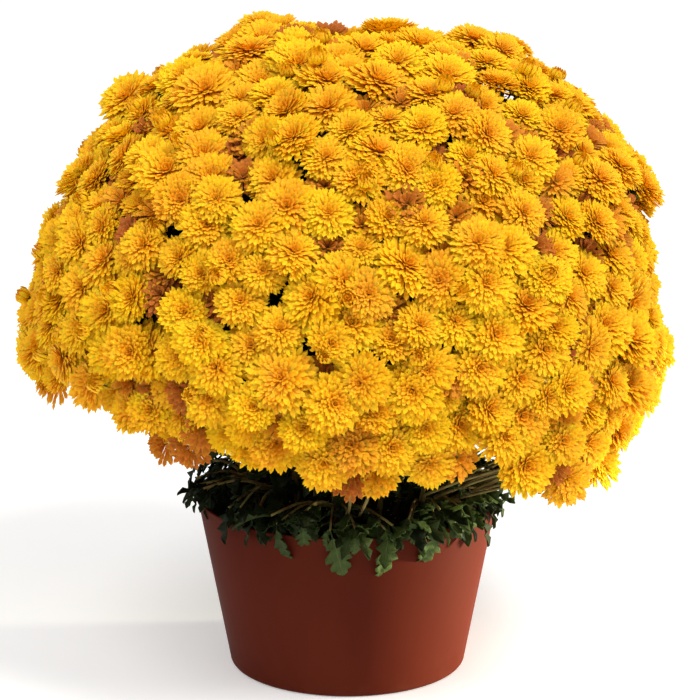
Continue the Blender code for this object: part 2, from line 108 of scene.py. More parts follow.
class Paint:
    """One material while its nodes are being written."""

    def __init__(self, name: str, **constants: Any) -> None:
        """Starts a material with a Principled shader.

        Args:
            name: The material's name.
            **constants: Values of the shader's sockets, an underscore in the name for each space.
        """
        self.material = bpy.data.materials.new(name)
        self.material.use_nodes = True
        self.tree = self.material.node_tree
        self.tree.nodes.clear()
        sockets = {key.replace("_", " "): value for key, value in constants.items()}
        self.shader = self.node("ShaderNodeBsdfPrincipled", {}, sockets)
        self.node("ShaderNodeOutputMaterial", {}, {"Surface": self.shader.outputs[0]})

    def node(self, kind: str, settings: dict[str, Any], values: dict[Any, Any]) -> bpy.types.Node:
        """Adds a node.

        Args:
            kind: The node's type.
            settings: Its properties, and under "stops" a ramp's positions and colours.
            values: Numbers, colours or links for its sockets, by name or place.

        Returns:
            The node.
        """
        made = self.tree.nodes.new(kind)
        for key, value in settings.items():
            if key == "stops":
                elements = made.color_ramp.elements
                while len(elements) < len(value):
                    elements.new(1.0)
                for element, (place, colour) in zip(elements, value):
                    element.position = place
                    element.color = (*colour, 1.0)
            else:
                setattr(made, key, value)
        for key, value in values.items():
            source = value.socket if isinstance(value, Link) else value
            if isinstance(source, bpy.types.NodeSocket):
                self.tree.links.new(source, made.inputs[key])
            else:
                made.inputs[key].default_value = source
        return made

    def maths(self, operation: str, first: Numbers, second: Numbers = 0.0) -> Link:
        """Adds a Math node and returns its value."""
        made = self.node("ShaderNodeMath", {"operation": operation}, {0: first, 1: second})
        return Link(self, made.outputs[0])

    def feed(self, socket: str, value: Link) -> None:
        """Links a value to a socket of the shader."""
        self.tree.links.new(value.socket, self.shader.inputs[socket])

    def mix(self, first: Any, second: Any, share: Numbers) -> Link:
        """Mixes two colours.

        Args:
            first: The colour at share 0, as three numbers or a link.
            second: The colour at share 1.
            share: How much of the second there is.

        Returns:
            The mixed colour.
        """
        sockets = [(*c, 1.0) if isinstance(c, tuple) else c for c in (first, second)]
        values = {0: share, 6: sockets[0], 7: sockets[1]}
        made = self.node("ShaderNodeMix", {"data_type": "RGBA", "clamp_factor": True}, values)
        return Link(self, made.outputs[2])

    def grade(self, value: Numbers, low: float, high: float) -> Link:
        """A smooth step.

        Args:
            value: What is graded.
            low: Where the step starts.
            high: Where it ends.

        Returns:
            0 at low to 1 at high.
        """
        values = {0: value, 1: low, 2: high}
        made = self.node("ShaderNodeMapRange", {"interpolation_type": "SMOOTHSTEP"}, values)
        return Link(self, made.outputs[0])

    def places(self) -> Link:
        """Object coordinates, in metres."""
        return Link(self, self.node("ShaderNodeTexCoord", {}, {}).outputs["Object"])

    def cloud(self, scale: float, detail: float = 3.0, stretch: Sequence[float] = (1, 1, 1)) -> Link:
        """Noise on object coordinates.

        Args:
            scale: Cells per metre.
            detail: Octaves.
            stretch: Scale along each axis.

        Returns:
            A value about 0.5.
        """
        spread = self.node("ShaderNodeMapping", {}, {"Vector": self.places(), "Scale": tuple(stretch)})
        values = {"Vector": spread.outputs[0], "Scale": scale, "Detail": detail}
        return Link(self, self.node("ShaderNodeTexNoise", {}, values).outputs[0])

    def attribute(self, name: str) -> Link:
        """A number that the piece's vertices carry."""
        made = self.node("ShaderNodeAttribute", {"attribute_name": name}, {})
        return Link(self, made.outputs["Fac"])

    def map_place(self, name: str) -> tuple[Link, Link]:
        """The piece's UV map.

        Args:
            name: The map's name.

        Returns:
            Its two coordinates.
        """
        made = self.node("ShaderNodeUVMap", {"uv_map": name}, {})
        parts = self.node("ShaderNodeSeparateXYZ", {}, {0: made.outputs[0]})
        return Link(self, parts.outputs[0]), Link(self, parts.outputs[1])

    def relief(self, height: Link, depth: float, strength: float = 1.0) -> None:
        """Feeds a height, in shares of a depth in metres, to the shader's normal."""
        values = {"Height": height, "Distance": depth, "Strength": strength}
        self.feed("Normal", Link(self, self.node("ShaderNodeBump", {}, values).outputs[0]))


# Finishes


Colour = tuple[float, float, float]


@dataclass(frozen=True)
class PetalFinish:
    """Golden petals: deep orange at their roots, partly painted shade between the petals, and at the bloom's
    middle, bright at their tips.
    """

    # Deep orange at the petals' roots: partly their own colour, partly painted shade between the petals and
    # rows
    root: Colour = (0.84, 0.26, 0.016)
    body: Colour = (0.96, 0.51, 0.012)
    tip: Colour = (0.98, 0.56, 0.008)
    middle: Colour = (0.90, 0.36, 0.010)
    aged: Colour = (0.88, 0.32, 0.016)
    # Dark rust: a few blooms get some of it at random, and the low blooms in the gaps under the others are
    # painted with it as painted shade
    rust_tone_and_painted_shade: Colour = (0.40, 0.105, 0.018)
    roughness: float = 0.60
    glow: float = 0.5
    glow_reach: float = 0.0020

    def material(self) -> bpy.types.Material:
        """Writes the nodes, with fine ribs along each petal.

        Returns:
            The material.
        """
        paint = Paint(
            "petals", Roughness=self.roughness, Specular_IOR_Level=0.1, Subsurface_Weight=self.glow,
            Subsurface_Radius=(1.0, 0.45, 0.05), Subsurface_Scale=self.glow_reach,
        )
        across, along = paint.map_place("petal")
        inward, tone = paint.attribute("inward"), paint.attribute("tone")
        # The deep root colour low on each petal is partly painted shade
        colour = paint.mix(self.root, self.body, paint.grade(along, 0.2, 0.75))
        colour = paint.mix(colour, self.tip, paint.grade(along, 0.6, 0.98))
        colour = paint.mix(colour, self.middle, paint.grade(inward, 0.45, 1.0) * 0.75)
        colour = paint.mix(colour, self.aged, tone * paint.grade(paint.cloud(60.0), 0.2, 0.7) * 0.7)
        # Tone past 1 paints dark rust: painted shade on the low blooms, a random rust tone on a few others
        colour = paint.mix(colour, self.rust_tone_and_painted_shade, paint.grade(tone, 1.0, 1.5))
        paint.feed("Base Color", colour)
        ribs = paint.maths("SINE", across * 38.0) * 0.5 + 0.5
        paint.relief(ribs, 0.00012, 0.5)
        return paint.material


@dataclass(frozen=True)
class PlantFinish:
    """Leaves from near-black green, partly painted shade inside the mound, to a brighter green that is partly
    random and partly painted light towards the sun, with paler veins and a grey underside, and olive stems.
    """

    # Near-black green: a dark leaf colour deepened as painted shade for the foliage under the blooms
    leaf: Colour = (0.006, 0.010, 0.003)
    # Brighter green: some leaves at random, and painted light on the leaves that face the sun
    fresh_and_painted_light: Colour = (0.080, 0.125, 0.024)
    vein: Colour = (0.130, 0.175, 0.050)
    underside: Colour = (0.050, 0.075, 0.022)
    stem: Colour = (0.190, 0.150, 0.045)
    woody: Colour = (0.120, 0.066, 0.024)
    roughness: float = 0.5

    def material(self) -> bpy.types.Material:
        """Writes the nodes, for which each vertex says how much of it is stem or underside.

        Returns:
            The material.
        """
        paint = Paint("leaves", Specular_IOR_Level=0.08)
        across, along = paint.map_place("leaf")
        stem, tone, below = (paint.attribute(name) for name in ("stem", "tone", "below"))
        mottle = paint.cloud(140.0, 4.0)
        # Tone mixes in the brighter green: at random, and as painted light on leaves towards the sun
        blade = paint.mix(self.leaf, self.fresh_and_painted_light, tone * (mottle + 0.4))
        off_rib = paint.maths("ABSOLUTE", across - 0.5) * 2.0
        rib = 1.0 - paint.grade(off_rib, 0.03, 0.10)
        slant = paint.maths("PINGPONG", along * 7.0 - off_rib * 2.2, 0.5)
        side_veins = (1.0 - paint.grade(slant, 0.03, 0.10)) * 0.6
        veins = paint.maths("MAXIMUM", rib, side_veins)
        blade = paint.mix(blade, self.vein, veins * tone * 0.8)
        blade = paint.mix(blade, self.underside, below * tone * 0.8)
        bark = paint.mix(self.stem, self.woody, paint.grade(paint.cloud(90.0, 3.0, (1, 1, 0.25)), 0.4, 0.7))
        paint.feed("Base Color", paint.mix(blade, bark, stem))
        paint.feed("Roughness", paint.grade(mottle, 0.2, 0.8) * 0.2 + (self.roughness - 0.1))
        paint.relief(mottle * 0.6 - veins * (1.0 - stem), 0.0003, 0.6)
        return paint.material


@dataclass(frozen=True)
class PotFinish:
    """Satin brown plastic with a faint mould grain, dusty at its foot."""

    body: Colour = (0.090, 0.0138, 0.0060)
    deep: Colour = (0.079, 0.0115, 0.0051)
    dust: Colour = (0.101, 0.0202, 0.0101)
    roughness: float = 0.50
    foot_height: float = 0.03

    def material(self) -> bpy.types.Material:
        """Writes the nodes, on object coordinates.

        Returns:
            The material.
        """
        paint = Paint("pot", Specular_IOR_Level=0.03)
        swirl = paint.cloud(14.0, 4.0, (1, 1, 0.35))
        grain = paint.cloud(900.0, 2.0)
        height = Link(paint, paint.node("ShaderNodeSeparateXYZ", {}, {0: paint.places()}).outputs[2])
        low = 1.0 - paint.grade(height, 0.0, self.foot_height)
        colour = paint.mix(self.body, self.deep, paint.grade(swirl, 0.35, 0.65))
        colour = paint.mix(colour, self.dust, low * paint.grade(paint.cloud(70.0, 5.0), 0.45, 0.75) * 0.5)
        paint.feed("Base Color", colour)
        paint.feed("Roughness", paint.grade(swirl, 0.3, 0.7) * 0.10 + low * 0.12 + self.roughness)
        paint.relief(grain, 0.00006, 0.4)
        return paint.material


@dataclass(frozen=True)
class MixFinish:
    """Growing mix: near-black peat with brown fibre and pale specks."""

    peat: Colour = (0.018, 0.011, 0.007)
    fibre: Colour = (0.085, 0.050, 0.026)
    speck: Colour = (0.45, 0.42, 0.36)

    def material(self) -> bpy.types.Material:
        """Writes the nodes, on object coordinates.

        Returns:
            The material.
        """
        paint = Paint("growing_mix", Roughness=0.95, Specular_IOR_Level=0.2)
        crumb = paint.cloud(420.0, 5.0)
        colour = paint.mix(self.peat, self.fibre, paint.grade(crumb, 0.45, 0.7))
        colour = paint.mix(colour, self.speck, paint.grade(paint.cloud(260.0, 0.0), 0.72, 0.76))
        paint.feed("Base Color", colour)
        paint.relief(crumb, 0.0015, 0.8)
        return paint.material


@dataclass(frozen=True)
class FloorFinish:
    """Plain pale studio floor, lit a little from below."""

    pale: Colour = (0.88, 0.88, 0.88)
    glow: float = 0.30

    def material(self) -> bpy.types.Material:
        """The material."""
        return Paint(
            "floor", Base_Color=(*self.pale, 1.0), Roughness=0.9, Specular_IOR_Level=0.1,
            Emission_Color=(1.0, 1.0, 1.0, 1.0), Emission_Strength=self.glow,
        ).material


# Forms that are copied many times


class Form:
    """A small mesh that is copied many times, each time with its vertices moved."""

    def __init__(self, name: str, bm: bmesh.types.BMesh) -> None:
        """Keeps a bmesh as a form, with smooth faces that point outwards.

        Args:
            name: The form's name.
            bm: Its mesh, which is freed.
        """
        bmesh.ops.recalc_face_normals(bm, faces=bm.faces)
        for face in bm.faces:
            face.smooth = True
        self.mesh = bpy.data.meshes.new(name)
        bm.to_mesh(self.mesh)
        bm.free()
        flat = np.empty(len(self.mesh.vertices) * 3, np.float32)
        self.mesh.vertices.foreach_get("co", flat)
        self.points = flat.reshape(-1, 3).astype(float)

    def add_to(self, bm: bmesh.types.BMesh, points: np.ndarray, **numbers: float) -> None:
        """Adds a copy.

        Args:
            bm: The mesh that gets it.
            points: A place for each of the form's vertices.
            **numbers: Values of its attributes for this copy.
        """
        self.mesh.vertices.foreach_set("co", np.ascontiguousarray(points, np.float32).ravel())
        for name, value in numbers.items():
            values = np.full(len(points), value, np.float32)
            self.mesh.attributes[name].data.foreach_set("value", values)
        bm.from_mesh(self.mesh)

    def forget(self) -> None:
        """Removes the form's mesh."""
        bpy.data.meshes.remove(self.mesh)


def add_piece(name: str, bm: bmesh.types.BMesh, material: bpy.types.Material, node: str) -> None:
    """Turns a bmesh into a piece of the plant.

    Args:
        name: The piece's name.
        bm: Its mesh in the CAD's frame, which is freed.
        material: Its finish.
        node: The CAD node that it stands for.
    """
    mesh = bpy.data.meshes.new(name)
    bm.to_mesh(mesh)
    bm.free()
    mesh.materials.append(material)
    piece = bpy.data.objects.new(name, mesh)
    bpy.context.scene.collection.objects.link(piece)
    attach(piece, BODY)
    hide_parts(node)
    mesh.calc_loop_triangles()
    log.info("%s: %d triangles", name, len(mesh.loop_triangles))


def heading(polar: float, azimuth: float) -> Vector:
    """The direction at a polar angle from straight up and an azimuth from +X."""
    return Vector((math.sin(polar) * math.cos(azimuth), math.sin(polar) * math.sin(azimuth), math.cos(polar)))


Site = tuple[float, float]


# Where the heads stand


class HeadKind(Enum):
    """A bloom on the mound, a half-hidden bloom in a gap under it, or a bud."""

    BLOOM = "bloom"
    LOW = "low"
    BUD = "bud"


@dataclass
class Head:
    """One bloom or bud."""

    place: Vector
    facing: Vector
    turn: float
    radius: float
    spray: int
    kind: HeadKind
    root_depth: float

    @property
    def root(self) -> Vector:
        """The point under the head where its stalk ends."""
        return self.place - self.facing * self.root_depth

    def axes(self) -> np.ndarray:
        """Rows: two directions across the head, and the way that it faces."""
        side = Matrix.Rotation(self.turn, 3, self.facing) @ self.facing.orthogonal().normalized()
        return np.array((side, self.facing.cross(side), self.facing))


@dataclass
class Mound:
    """The mound that the heads sit on, by the CAD's own values, rules and draws."""

    centre_height: float = 0.250
    angles: Sequence[float] = (0.0, 40.0, 80.0, 110.0)
    radii: Sequence[float] = (0.272, 0.284, 0.256, 0.222)
    crown_lean: float = 0.22
    # Polar angle, azimuth and width in degrees, and height
    swells: Sequence[Sequence[float]] = (
        (52.0, -60.0, 12.0, 0.004),
        (60.0, -115.0, 12.0, -0.004),
        (55.0, 80.0, 14.0, 0.005),
        (70.0, 130.0, 14.0, -0.005),
    )
    # The outline that the photograph shows: its tilt and reach, and pairs of a bearing in degrees, clockwise
    # from the top, and how far it swells or sinks there, in millimetres
    outline_tilt: float = 15.4
    outline_reach: float = 0.40
    outline_swells: Sequence[Sequence[float]] = (
        (-95, 4), (-58, -4), (-32, 6), (-19, 7), (7, -10), (24, 5),
        (35, -6), (52, 8), (60, -4), (75, -18), (90, 1), (103, -13),
    )
    skirt_angle: float = 95.0
    # How low the skirt hangs in each direction: azimuth and polar angle in degrees
    skirt_limits: Sequence[Sequence[float]] = (
        (-180.0, 92.0), (-152.0, 84.0), (-140.0, 84.0), (-130.0, 92.5), (-112.0, 90.0),
        (-90.0, 94.5), (-62.0, 91.0), (-35.0, 105.0), (-15.0, 102.0), (0.0, 98.0),
        (60.0, 97.0), (120.0, 95.0), (180.0, 92.0),
    )
    facing_centre: Vector = field(default_factory=lambda: Vector((0.0, 0.085, 0.190)))
    fork_centre: Vector = field(default_factory=lambda: Vector((0.0, 0.0, 0.200)))
    blooms: int = 470
    buds: int = 58
    sprays: int = 20
    place_jitter: float = 0.17
    pole_width: float = 0.2
    height_jitter: float = 0.0055
    spray_bulge: float = 0.0050
    facing_jitter: float = 0.10
    size_spread: float = 0.15
    bloom_radius: float = 0.0225
    bud_radius: float = 0.0075
    bud_rise: float = 0.0040
    bloom_root: float = 0.0085
    visual_lift: float = -0.0050
    low_blooms: int = 180
    low_lift: float = -0.0070
    low_radius: float = 0.0210
    candidates: int = 2400
    # How far the finished heads depart from the CAD's even spread
    sideways: float = 0.0040
    nodding: float = 0.13
    fullness_spread: float = 0.17
    bud_lift: float = 0.0030
    proud: float = 0.0035
    loose_seed: int = 3

    def point(self, polar: float, azimuth: float, lift: float = 0.0) -> Vector:
        """A point of the mound's surface, or over it.

        Args:
            polar: Its polar angle from straight up.
            azimuth: Its azimuth from +X.
            lift: How far over the surface it is.

        Returns:
            The point.
        """
        radius = float(np.polyval(np.polyfit(self.angles, self.radii, 3), math.degrees(polar))) + lift
        for swell_polar, swell_azimuth, width, height in self.swells:
            middle = heading(math.radians(swell_polar), math.radians(swell_azimuth))
            away = math.degrees(heading(polar, azimuth).angle(middle))
            radius += height * math.exp(-((away / width) ** 2))
        seen = Matrix.Rotation(math.radians(self.outline_tilt), 3, "X") @ heading(polar, azimuth)
        bearing = math.degrees(math.atan2(seen.x, seen.z))
        standing_out = float(np.interp(bearing, *zip(*self.outline_swells)))
        radius += standing_out / 1000 * math.exp(-((seen.y / self.outline_reach) ** 2))
        offset = heading(polar, azimuth) * radius
        lean = self.crown_lean * max(offset.z, 0.0) ** 2
        return offset + Vector((lean, 0.0, self.centre_height))

    def spiral(self, count: int, draw: random.Random | None = None) -> list[Site]:
        """Evenly spread sites down to the skirt.

        Args:
            count: How many there are.
            draw: The draw that moves each a little, if any.

        Returns:
            Each site's polar angle and azimuth.
        """
        cap = 1.0 - math.cos(math.radians(self.skirt_angle))
        jitter = self.place_jitter * math.sqrt(math.tau * cap / count)
        sites = []
        for k in range(count):
            share = (k + 0.5) / count
            polar = math.acos(1.0 - share * cap)
            azimuth = k * GOLDEN_ANGLE
            if draw:
                polar = abs(polar + draw.uniform(-1, 1) * jitter)
                azimuth += draw.uniform(-1, 1) * jitter / max(math.sin(polar), self.pole_width)
            compass = math.degrees(math.atan2(math.sin(azimuth), math.cos(azimuth)))
            drop = float(np.interp(compass, *zip(*self.skirt_limits))) / self.skirt_angle - 1.0
            sites.append((polar * (1.0 + share * drop), azimuth))
        return sites

    def gap_sites(self, sites: Sequence[Site], count: int) -> list[Site]:
        """Sites for the buds, each in the middle of three of the blooms' sites.

        Args:
            sites: The blooms' sites.
            count: How many buds there are.

        Returns:
            The buds' sites.
        """
        ways = [heading(*site) for site in sites]
        found = []
        for k in range(count):
            first = ways[(2 * k + 1) * len(sites) // (2 * count)]
            middle = sum(sorted(ways, key=lambda way: -way.dot(first))[:3], Vector()).normalized()
            found.append((math.acos(middle.z), math.atan2(middle.y, middle.x)))
        return found

    def head(self, site: Site, axes: Sequence[Vector], draw: random.Random, kind: HeadKind) -> Head:
        """One head.

        Args:
            site: Its polar angle and azimuth.
            axes: The directions of the sprays.
            draw: The layout's draw.
            kind: What kind it is.

        Returns:
            The head, in the spray whose direction is nearest.
        """
        nearness = [heading(*site).dot(axis) for axis in axes]
        off_axis = math.acos(min(1.0, max(nearness))) * math.sqrt(len(axes)) / 2
        lift = self.spray_bulge * (1.0 - 2.0 * off_axis**2) + draw.uniform(-1, 1) * self.height_jitter
        is_bud = kind is HeadKind.BUD
        rise, size = {
            HeadKind.BUD: (self.bud_rise, self.bud_radius),
            HeadKind.BLOOM: (0.0, self.bloom_radius),
            HeadKind.LOW: (self.low_lift, self.low_radius),
        }[kind]
        place = self.point(*site, lift + rise)
        wobble = Vector([draw.gauss(0, 1) for _ in range(3)]) * self.facing_jitter
        facing = ((place - self.facing_centre).normalized() + wobble).normalized()
        turn = draw.uniform(0, math.tau)
        radius = size * (1.0 + draw.uniform(-1, 1) * self.size_spread)
        depth = radius if is_bud else self.bloom_root
        place = place + facing * (0.0 if is_bud else self.visual_lift)
        return Head(place, facing, turn, radius, nearness.index(max(nearness)), kind, depth)

    def heads(self) -> list[Head]:
        """Places all the heads.

        Returns:
            The heads, in the CAD's order, with the low blooms last.
        """
        draw = random.Random(LAYOUT_SEED)
        axes = [heading(*site) for site in self.spiral(self.sprays)]
        sites = self.spiral(self.blooms, draw)
        heads = [self.head(site, axes, draw, HeadKind.BLOOM) for site in sites]
        heads += [self.head(site, axes, draw, HeadKind.BUD) for site in self.gap_sites(sites, self.buds)]
        self.loosen(heads)
        return heads + [self.head(site, axes, draw, HeadKind.LOW) for site in self.widest_gaps(heads)]

    def loosen(self, heads: Sequence[Head]) -> None:
        """Moves, nods and sizes each head a little, and lifts the buds out between the blooms.

        Args:
            heads: The heads, which are changed.
        """
        draw = random.Random(self.loose_seed)
        for head in heads:
            shift = Vector([max(-2.0, min(2.0, draw.gauss(0, 1))) for _ in range(3)]) * self.sideways
            head.place += shift - head.facing * shift.dot(head.facing)
            nod = Vector([draw.gauss(0, 1) for _ in range(3)]) * self.nodding
            if head.kind is HeadKind.BUD:
                head.place += head.facing * self.bud_lift
            else:
                head.place += head.facing * draw.uniform(-1, 1) * self.proud
                head.facing = (head.facing + nod).normalized()
                head.radius *= 1.0 + draw.uniform(-1, 1) * self.fullness_spread

    def widest_gaps(self, heads: Sequence[Head]) -> list[Site]:
        """Sites for the low blooms, each where the most room is left.

        Args:
            heads: The heads that stand already.

        Returns:
            The sites.
        """
        sites = self.spiral(self.candidates)
        points = np.array([self.point(*site) for site in sites])
        room = np.full(len(sites), np.inf)
        for head in heads:
            room = np.minimum(room, np.linalg.norm(points - np.array(head.place), axis=1) - head.radius)
        found = []
        for _ in range(self.low_blooms):
            best = int(np.argmax(room))
            found.append(sites[best])
            room = np.minimum(room, np.linalg.norm(points - points[best], axis=1) - self.low_radius)
        return found


# Blooms


class Petal(Enum):
    """The kinds of petal: sides of a ring, and how far along each ring lies and how wide it is."""

    QUILL = (3, ((0.0, 0.0), (0.88, 1.0), (1.0, 0.0)))
    CURL = (3, ((0.0, 0.0), (0.30, 0.70), (0.55, 1.0), (0.80, 0.85), (1.0, 0.0)))


@dataclass(frozen=True)
class PetalRow:
    """One turn of petals, in shares of the bloom's radius.

    Their roots lie out from its middle and up from its face. Their slopes above the face, in degrees, go from
    start at the root to end at the tip, most of it near the tip where bend is large.
    """

    count: int
    length: float
    width: float
    out: float
    up: float
    start: float
    end: float
    petal: Petal = Petal.QUILL
    bend: float = 2.2


class Opening(Enum):
    """How far a bloom has opened: slope added at the petals' roots and tips, and their length."""

    WIDE = (-4.0, -8.0, 1.02)
    FULL = (0.0, 0.0, 1.0)
    DOMED = (6.0, 4.0, 0.98)
    CUPPED = (12.0, 14.0, 0.94)


BLOOM_ROWS = (
    PetalRow(36, 0.98, 0.150, 0.06, -0.06, -6.0, 20.0),
    PetalRow(36, 0.93, 0.150, 0.06, -0.03, -2.0, 23.0),
    PetalRow(34, 0.87, 0.145, 0.06, 0.00, 2.0, 27.0),
    PetalRow(30, 0.79, 0.145, 0.06, 0.03, 7.0, 31.0),
    PetalRow(28, 0.70, 0.140, 0.06, 0.05, 13.0, 36.0),
    PetalRow(25, 0.60, 0.130, 0.05, 0.07, 20.0, 43.0),
    PetalRow(21, 0.49, 0.120, 0.05, 0.09, 29.0, 53.0),
    PetalRow(17, 0.38, 0.110, 0.04, 0.10, 40.0, 66.0),
    PetalRow(12, 0.28, 0.090, 0.03, 0.10, 54.0, 84.0),
    PetalRow(8, 0.19, 0.080, 0.01, 0.10, 70.0, 100.0),
)
SHADED_ROWS = (
    PetalRow(24, 0.95, 0.200, 0.06, -0.06, 0.0, 24.0),
    PetalRow(21, 0.84, 0.190, 0.06, 0.02, 12.0, 36.0),
    PetalRow(16, 0.64, 0.170, 0.06, 0.08, 28.0, 52.0),
    PetalRow(10, 0.42, 0.150, 0.05, 0.12, 46.0, 70.0),
)
BUD_ROWS = (
    PetalRow(18, 2.10, 0.42, 0.10, -0.75, -5.0, 142.0, Petal.CURL, 1.0),
    PetalRow(12, 1.45, 0.38, 0.08, -0.42, 8.0, 138.0, Petal.CURL, 1.0),
    PetalRow(7, 0.75, 0.30, 0.05, -0.35, 50.0, 110.0, Petal.QUILL, 1.0),
)


@dataclass
class PetalKit:
    """Petals and the bloom and bud forms that are put together from them."""

    thickness: float = 0.07
    cup: float = 0.42
    # Colour-ramp place of a curled petal's root and tip: low, so both take the deep root colour, partly
    # painted shade in the bud's dimple
    curl_gold: float = 0.3
    arc_steps: int = 16
    length_spread: float = 0.09
    slope_spread: float = 8.0
    turn_spread: float = 0.35
    roll_spread: float = 0.35
    forms_per_opening: int = 2
    shaded_forms: int = 2
    bud_forms: int = 3
    seed: int = 5

    def petal(self, kind: Petal) -> Form:
        """A closed petal, cupped along its middle.

        Args:
            kind: The kind of petal.

        Returns:
            The petal, a unit long and a unit wide, from its root at 0 on X.
        """
        sides, stations = kind.value
        bm = bmesh.new()
        petal_map = bm.loops.layers.uv.new("petal")
        for name in ("inward", "tone"):
            bm.verts.layers.float.new(name)
        last = len(stations) - 1
        bmesh.ops.create_uvsphere(bm, u_segments=sides, v_segments=last, radius=1.0)
        bmesh.ops.rotate(bm, verts=bm.verts, matrix=Matrix.Rotation(math.pi, 3, "Z"))
        spots = {}
        for vert in bm.verts:
            ring = round(math.acos(max(-1.0, min(1.0, -vert.co.z))) / math.pi * last)
            along, width = stations[ring]
            angle = math.atan2(vert.co.y, vert.co.x)
            across = math.cos(angle) * width / 2 if 0 < ring < last else 0.0
            thick = math.sin(angle) * self.thickness / 2 if 0 < ring < last else 0.0
            across /= math.cos(math.pi / (2 * sides))
            # A curled petal is deep orange at both ends, partly painted shade where it tucks into the bud's
            # dimple
            arched = self.curl_gold + (1.0 - self.curl_gold) * math.sin(along * math.pi)
            golden = along if kind is Petal.QUILL else arched
            spots[vert] = (across + 0.5, golden)
            vert.co = (along, across, thick + self.cup * abs(across))
        for face in bm.faces:
            for loop in face.loops:
                loop[petal_map].uv = spots[loop.vert]
        ridge = {vert for vert in bm.verts if abs(spots[vert][0] - 0.5) < 0.01 and 0.01 < vert.co.x < 0.99}
        for edge in bm.edges:
            edge.smooth = any(vert in ridge for vert in edge.verts)
        return Form("petal", bm)

    def arched(
        self, form: Form, row: PetalRow, turn: float, lean: Sequence[float], draw: random.Random
    ) -> np.ndarray:
        """The points of one petal of a row.

        Args:
            form: The petal.
            row: Its row.
            turn: Its azimuth in the bloom.
            lean: What is added to its slopes at root and tip, in degrees, and its share of length.
            draw: The draw for its irregularity.

        Returns:
            Its points, in shares of the bloom's radius.
        """
        along, across, thick = form.points.T
        length = row.length * lean[2] * (1.0 + draw.uniform(-1, 1) * self.length_spread)
        tilt = draw.uniform(-1, 1) * self.slope_spread
        steps = np.linspace(0.0, 1.0, self.arc_steps + 1)
        start, end = row.start + lean[0] + tilt, row.end + lean[1] + tilt
        slopes = np.radians(start + (end - start) * steps**row.bend)
        run = np.concatenate(([0.0], np.cumsum(np.cos(slopes[:-1])))) * length / self.arc_steps
        rise = np.concatenate(([0.0], np.cumsum(np.sin(slopes[:-1])))) * length / self.arc_steps
        slope = np.interp(along, steps, slopes)
        roll = draw.uniform(-1, 1) * self.roll_spread * along
        side = (across * np.cos(roll) - thick * np.sin(roll)) * row.width
        lift = (across * np.sin(roll) + thick * np.cos(roll)) * row.width
        out = row.out + np.interp(along, steps, run) - np.sin(slope) * lift
        up = row.up + np.interp(along, steps, rise) + np.cos(slope) * lift
        x = out * math.cos(turn) - side * math.sin(turn)
        y = out * math.sin(turn) + side * math.cos(turn)
        return np.stack((x, y, up), 1)

    def head_form(
        self, name: str, rows: Sequence[PetalRow], lean: Sequence[float], draw: random.Random
    ) -> Form:
        """A whole bloom or bud with a radius of 1.

        Args:
            name: The form's name.
            rows: Its turns of petals.
            lean: What is added to their slopes, and their share of length.
            draw: The draw for its irregularity.

        Returns:
            The head, facing +Z.
        """
        bm = bmesh.new()
        for number, row in enumerate(rows):
            form = self.petal(row.petal)
            inward = number / (len(rows) - 1)
            for k in range(row.count):
                place = k + draw.uniform(-1, 1) * self.turn_spread
                turn = place * math.tau / row.count + number * GOLDEN_ANGLE
                form.add_to(bm, self.arched(form, row, turn, lean, draw), inward=inward)
            form.forget()
        return Form(name, bm)

    def blooms(self) -> list[Form]:
        """Makes a few blooms of each opening.

        Returns:
            The blooms.
        """
        draw = random.Random(self.seed)
        return [
            self.head_form("bloom", BLOOM_ROWS, opening.value, draw)
            for opening in Opening
            for _ in range(self.forms_per_opening)
        ]

    def shaded(self) -> list[Form]:
        """Makes a few plainer blooms for the lower layer.

        Returns:
            The blooms.
        """
        draw = random.Random(self.seed + 2)
        leans = [(0.0, 4.0 * k, 1.0) for k in range(self.shaded_forms)]
        return [self.head_form("low", SHADED_ROWS, lean, draw) for lean in leans]

    def buds(self) -> list[Form]:
        """Makes a few tight buds.

        Returns:
            The buds.
        """
        draw = random.Random(self.seed + 1)
        leans = [(0.0, 6.0 * k, 1.0) for k in range(self.bud_forms)]
        return [self.head_form("bud", BUD_ROWS, lean, draw) for lean in leans]


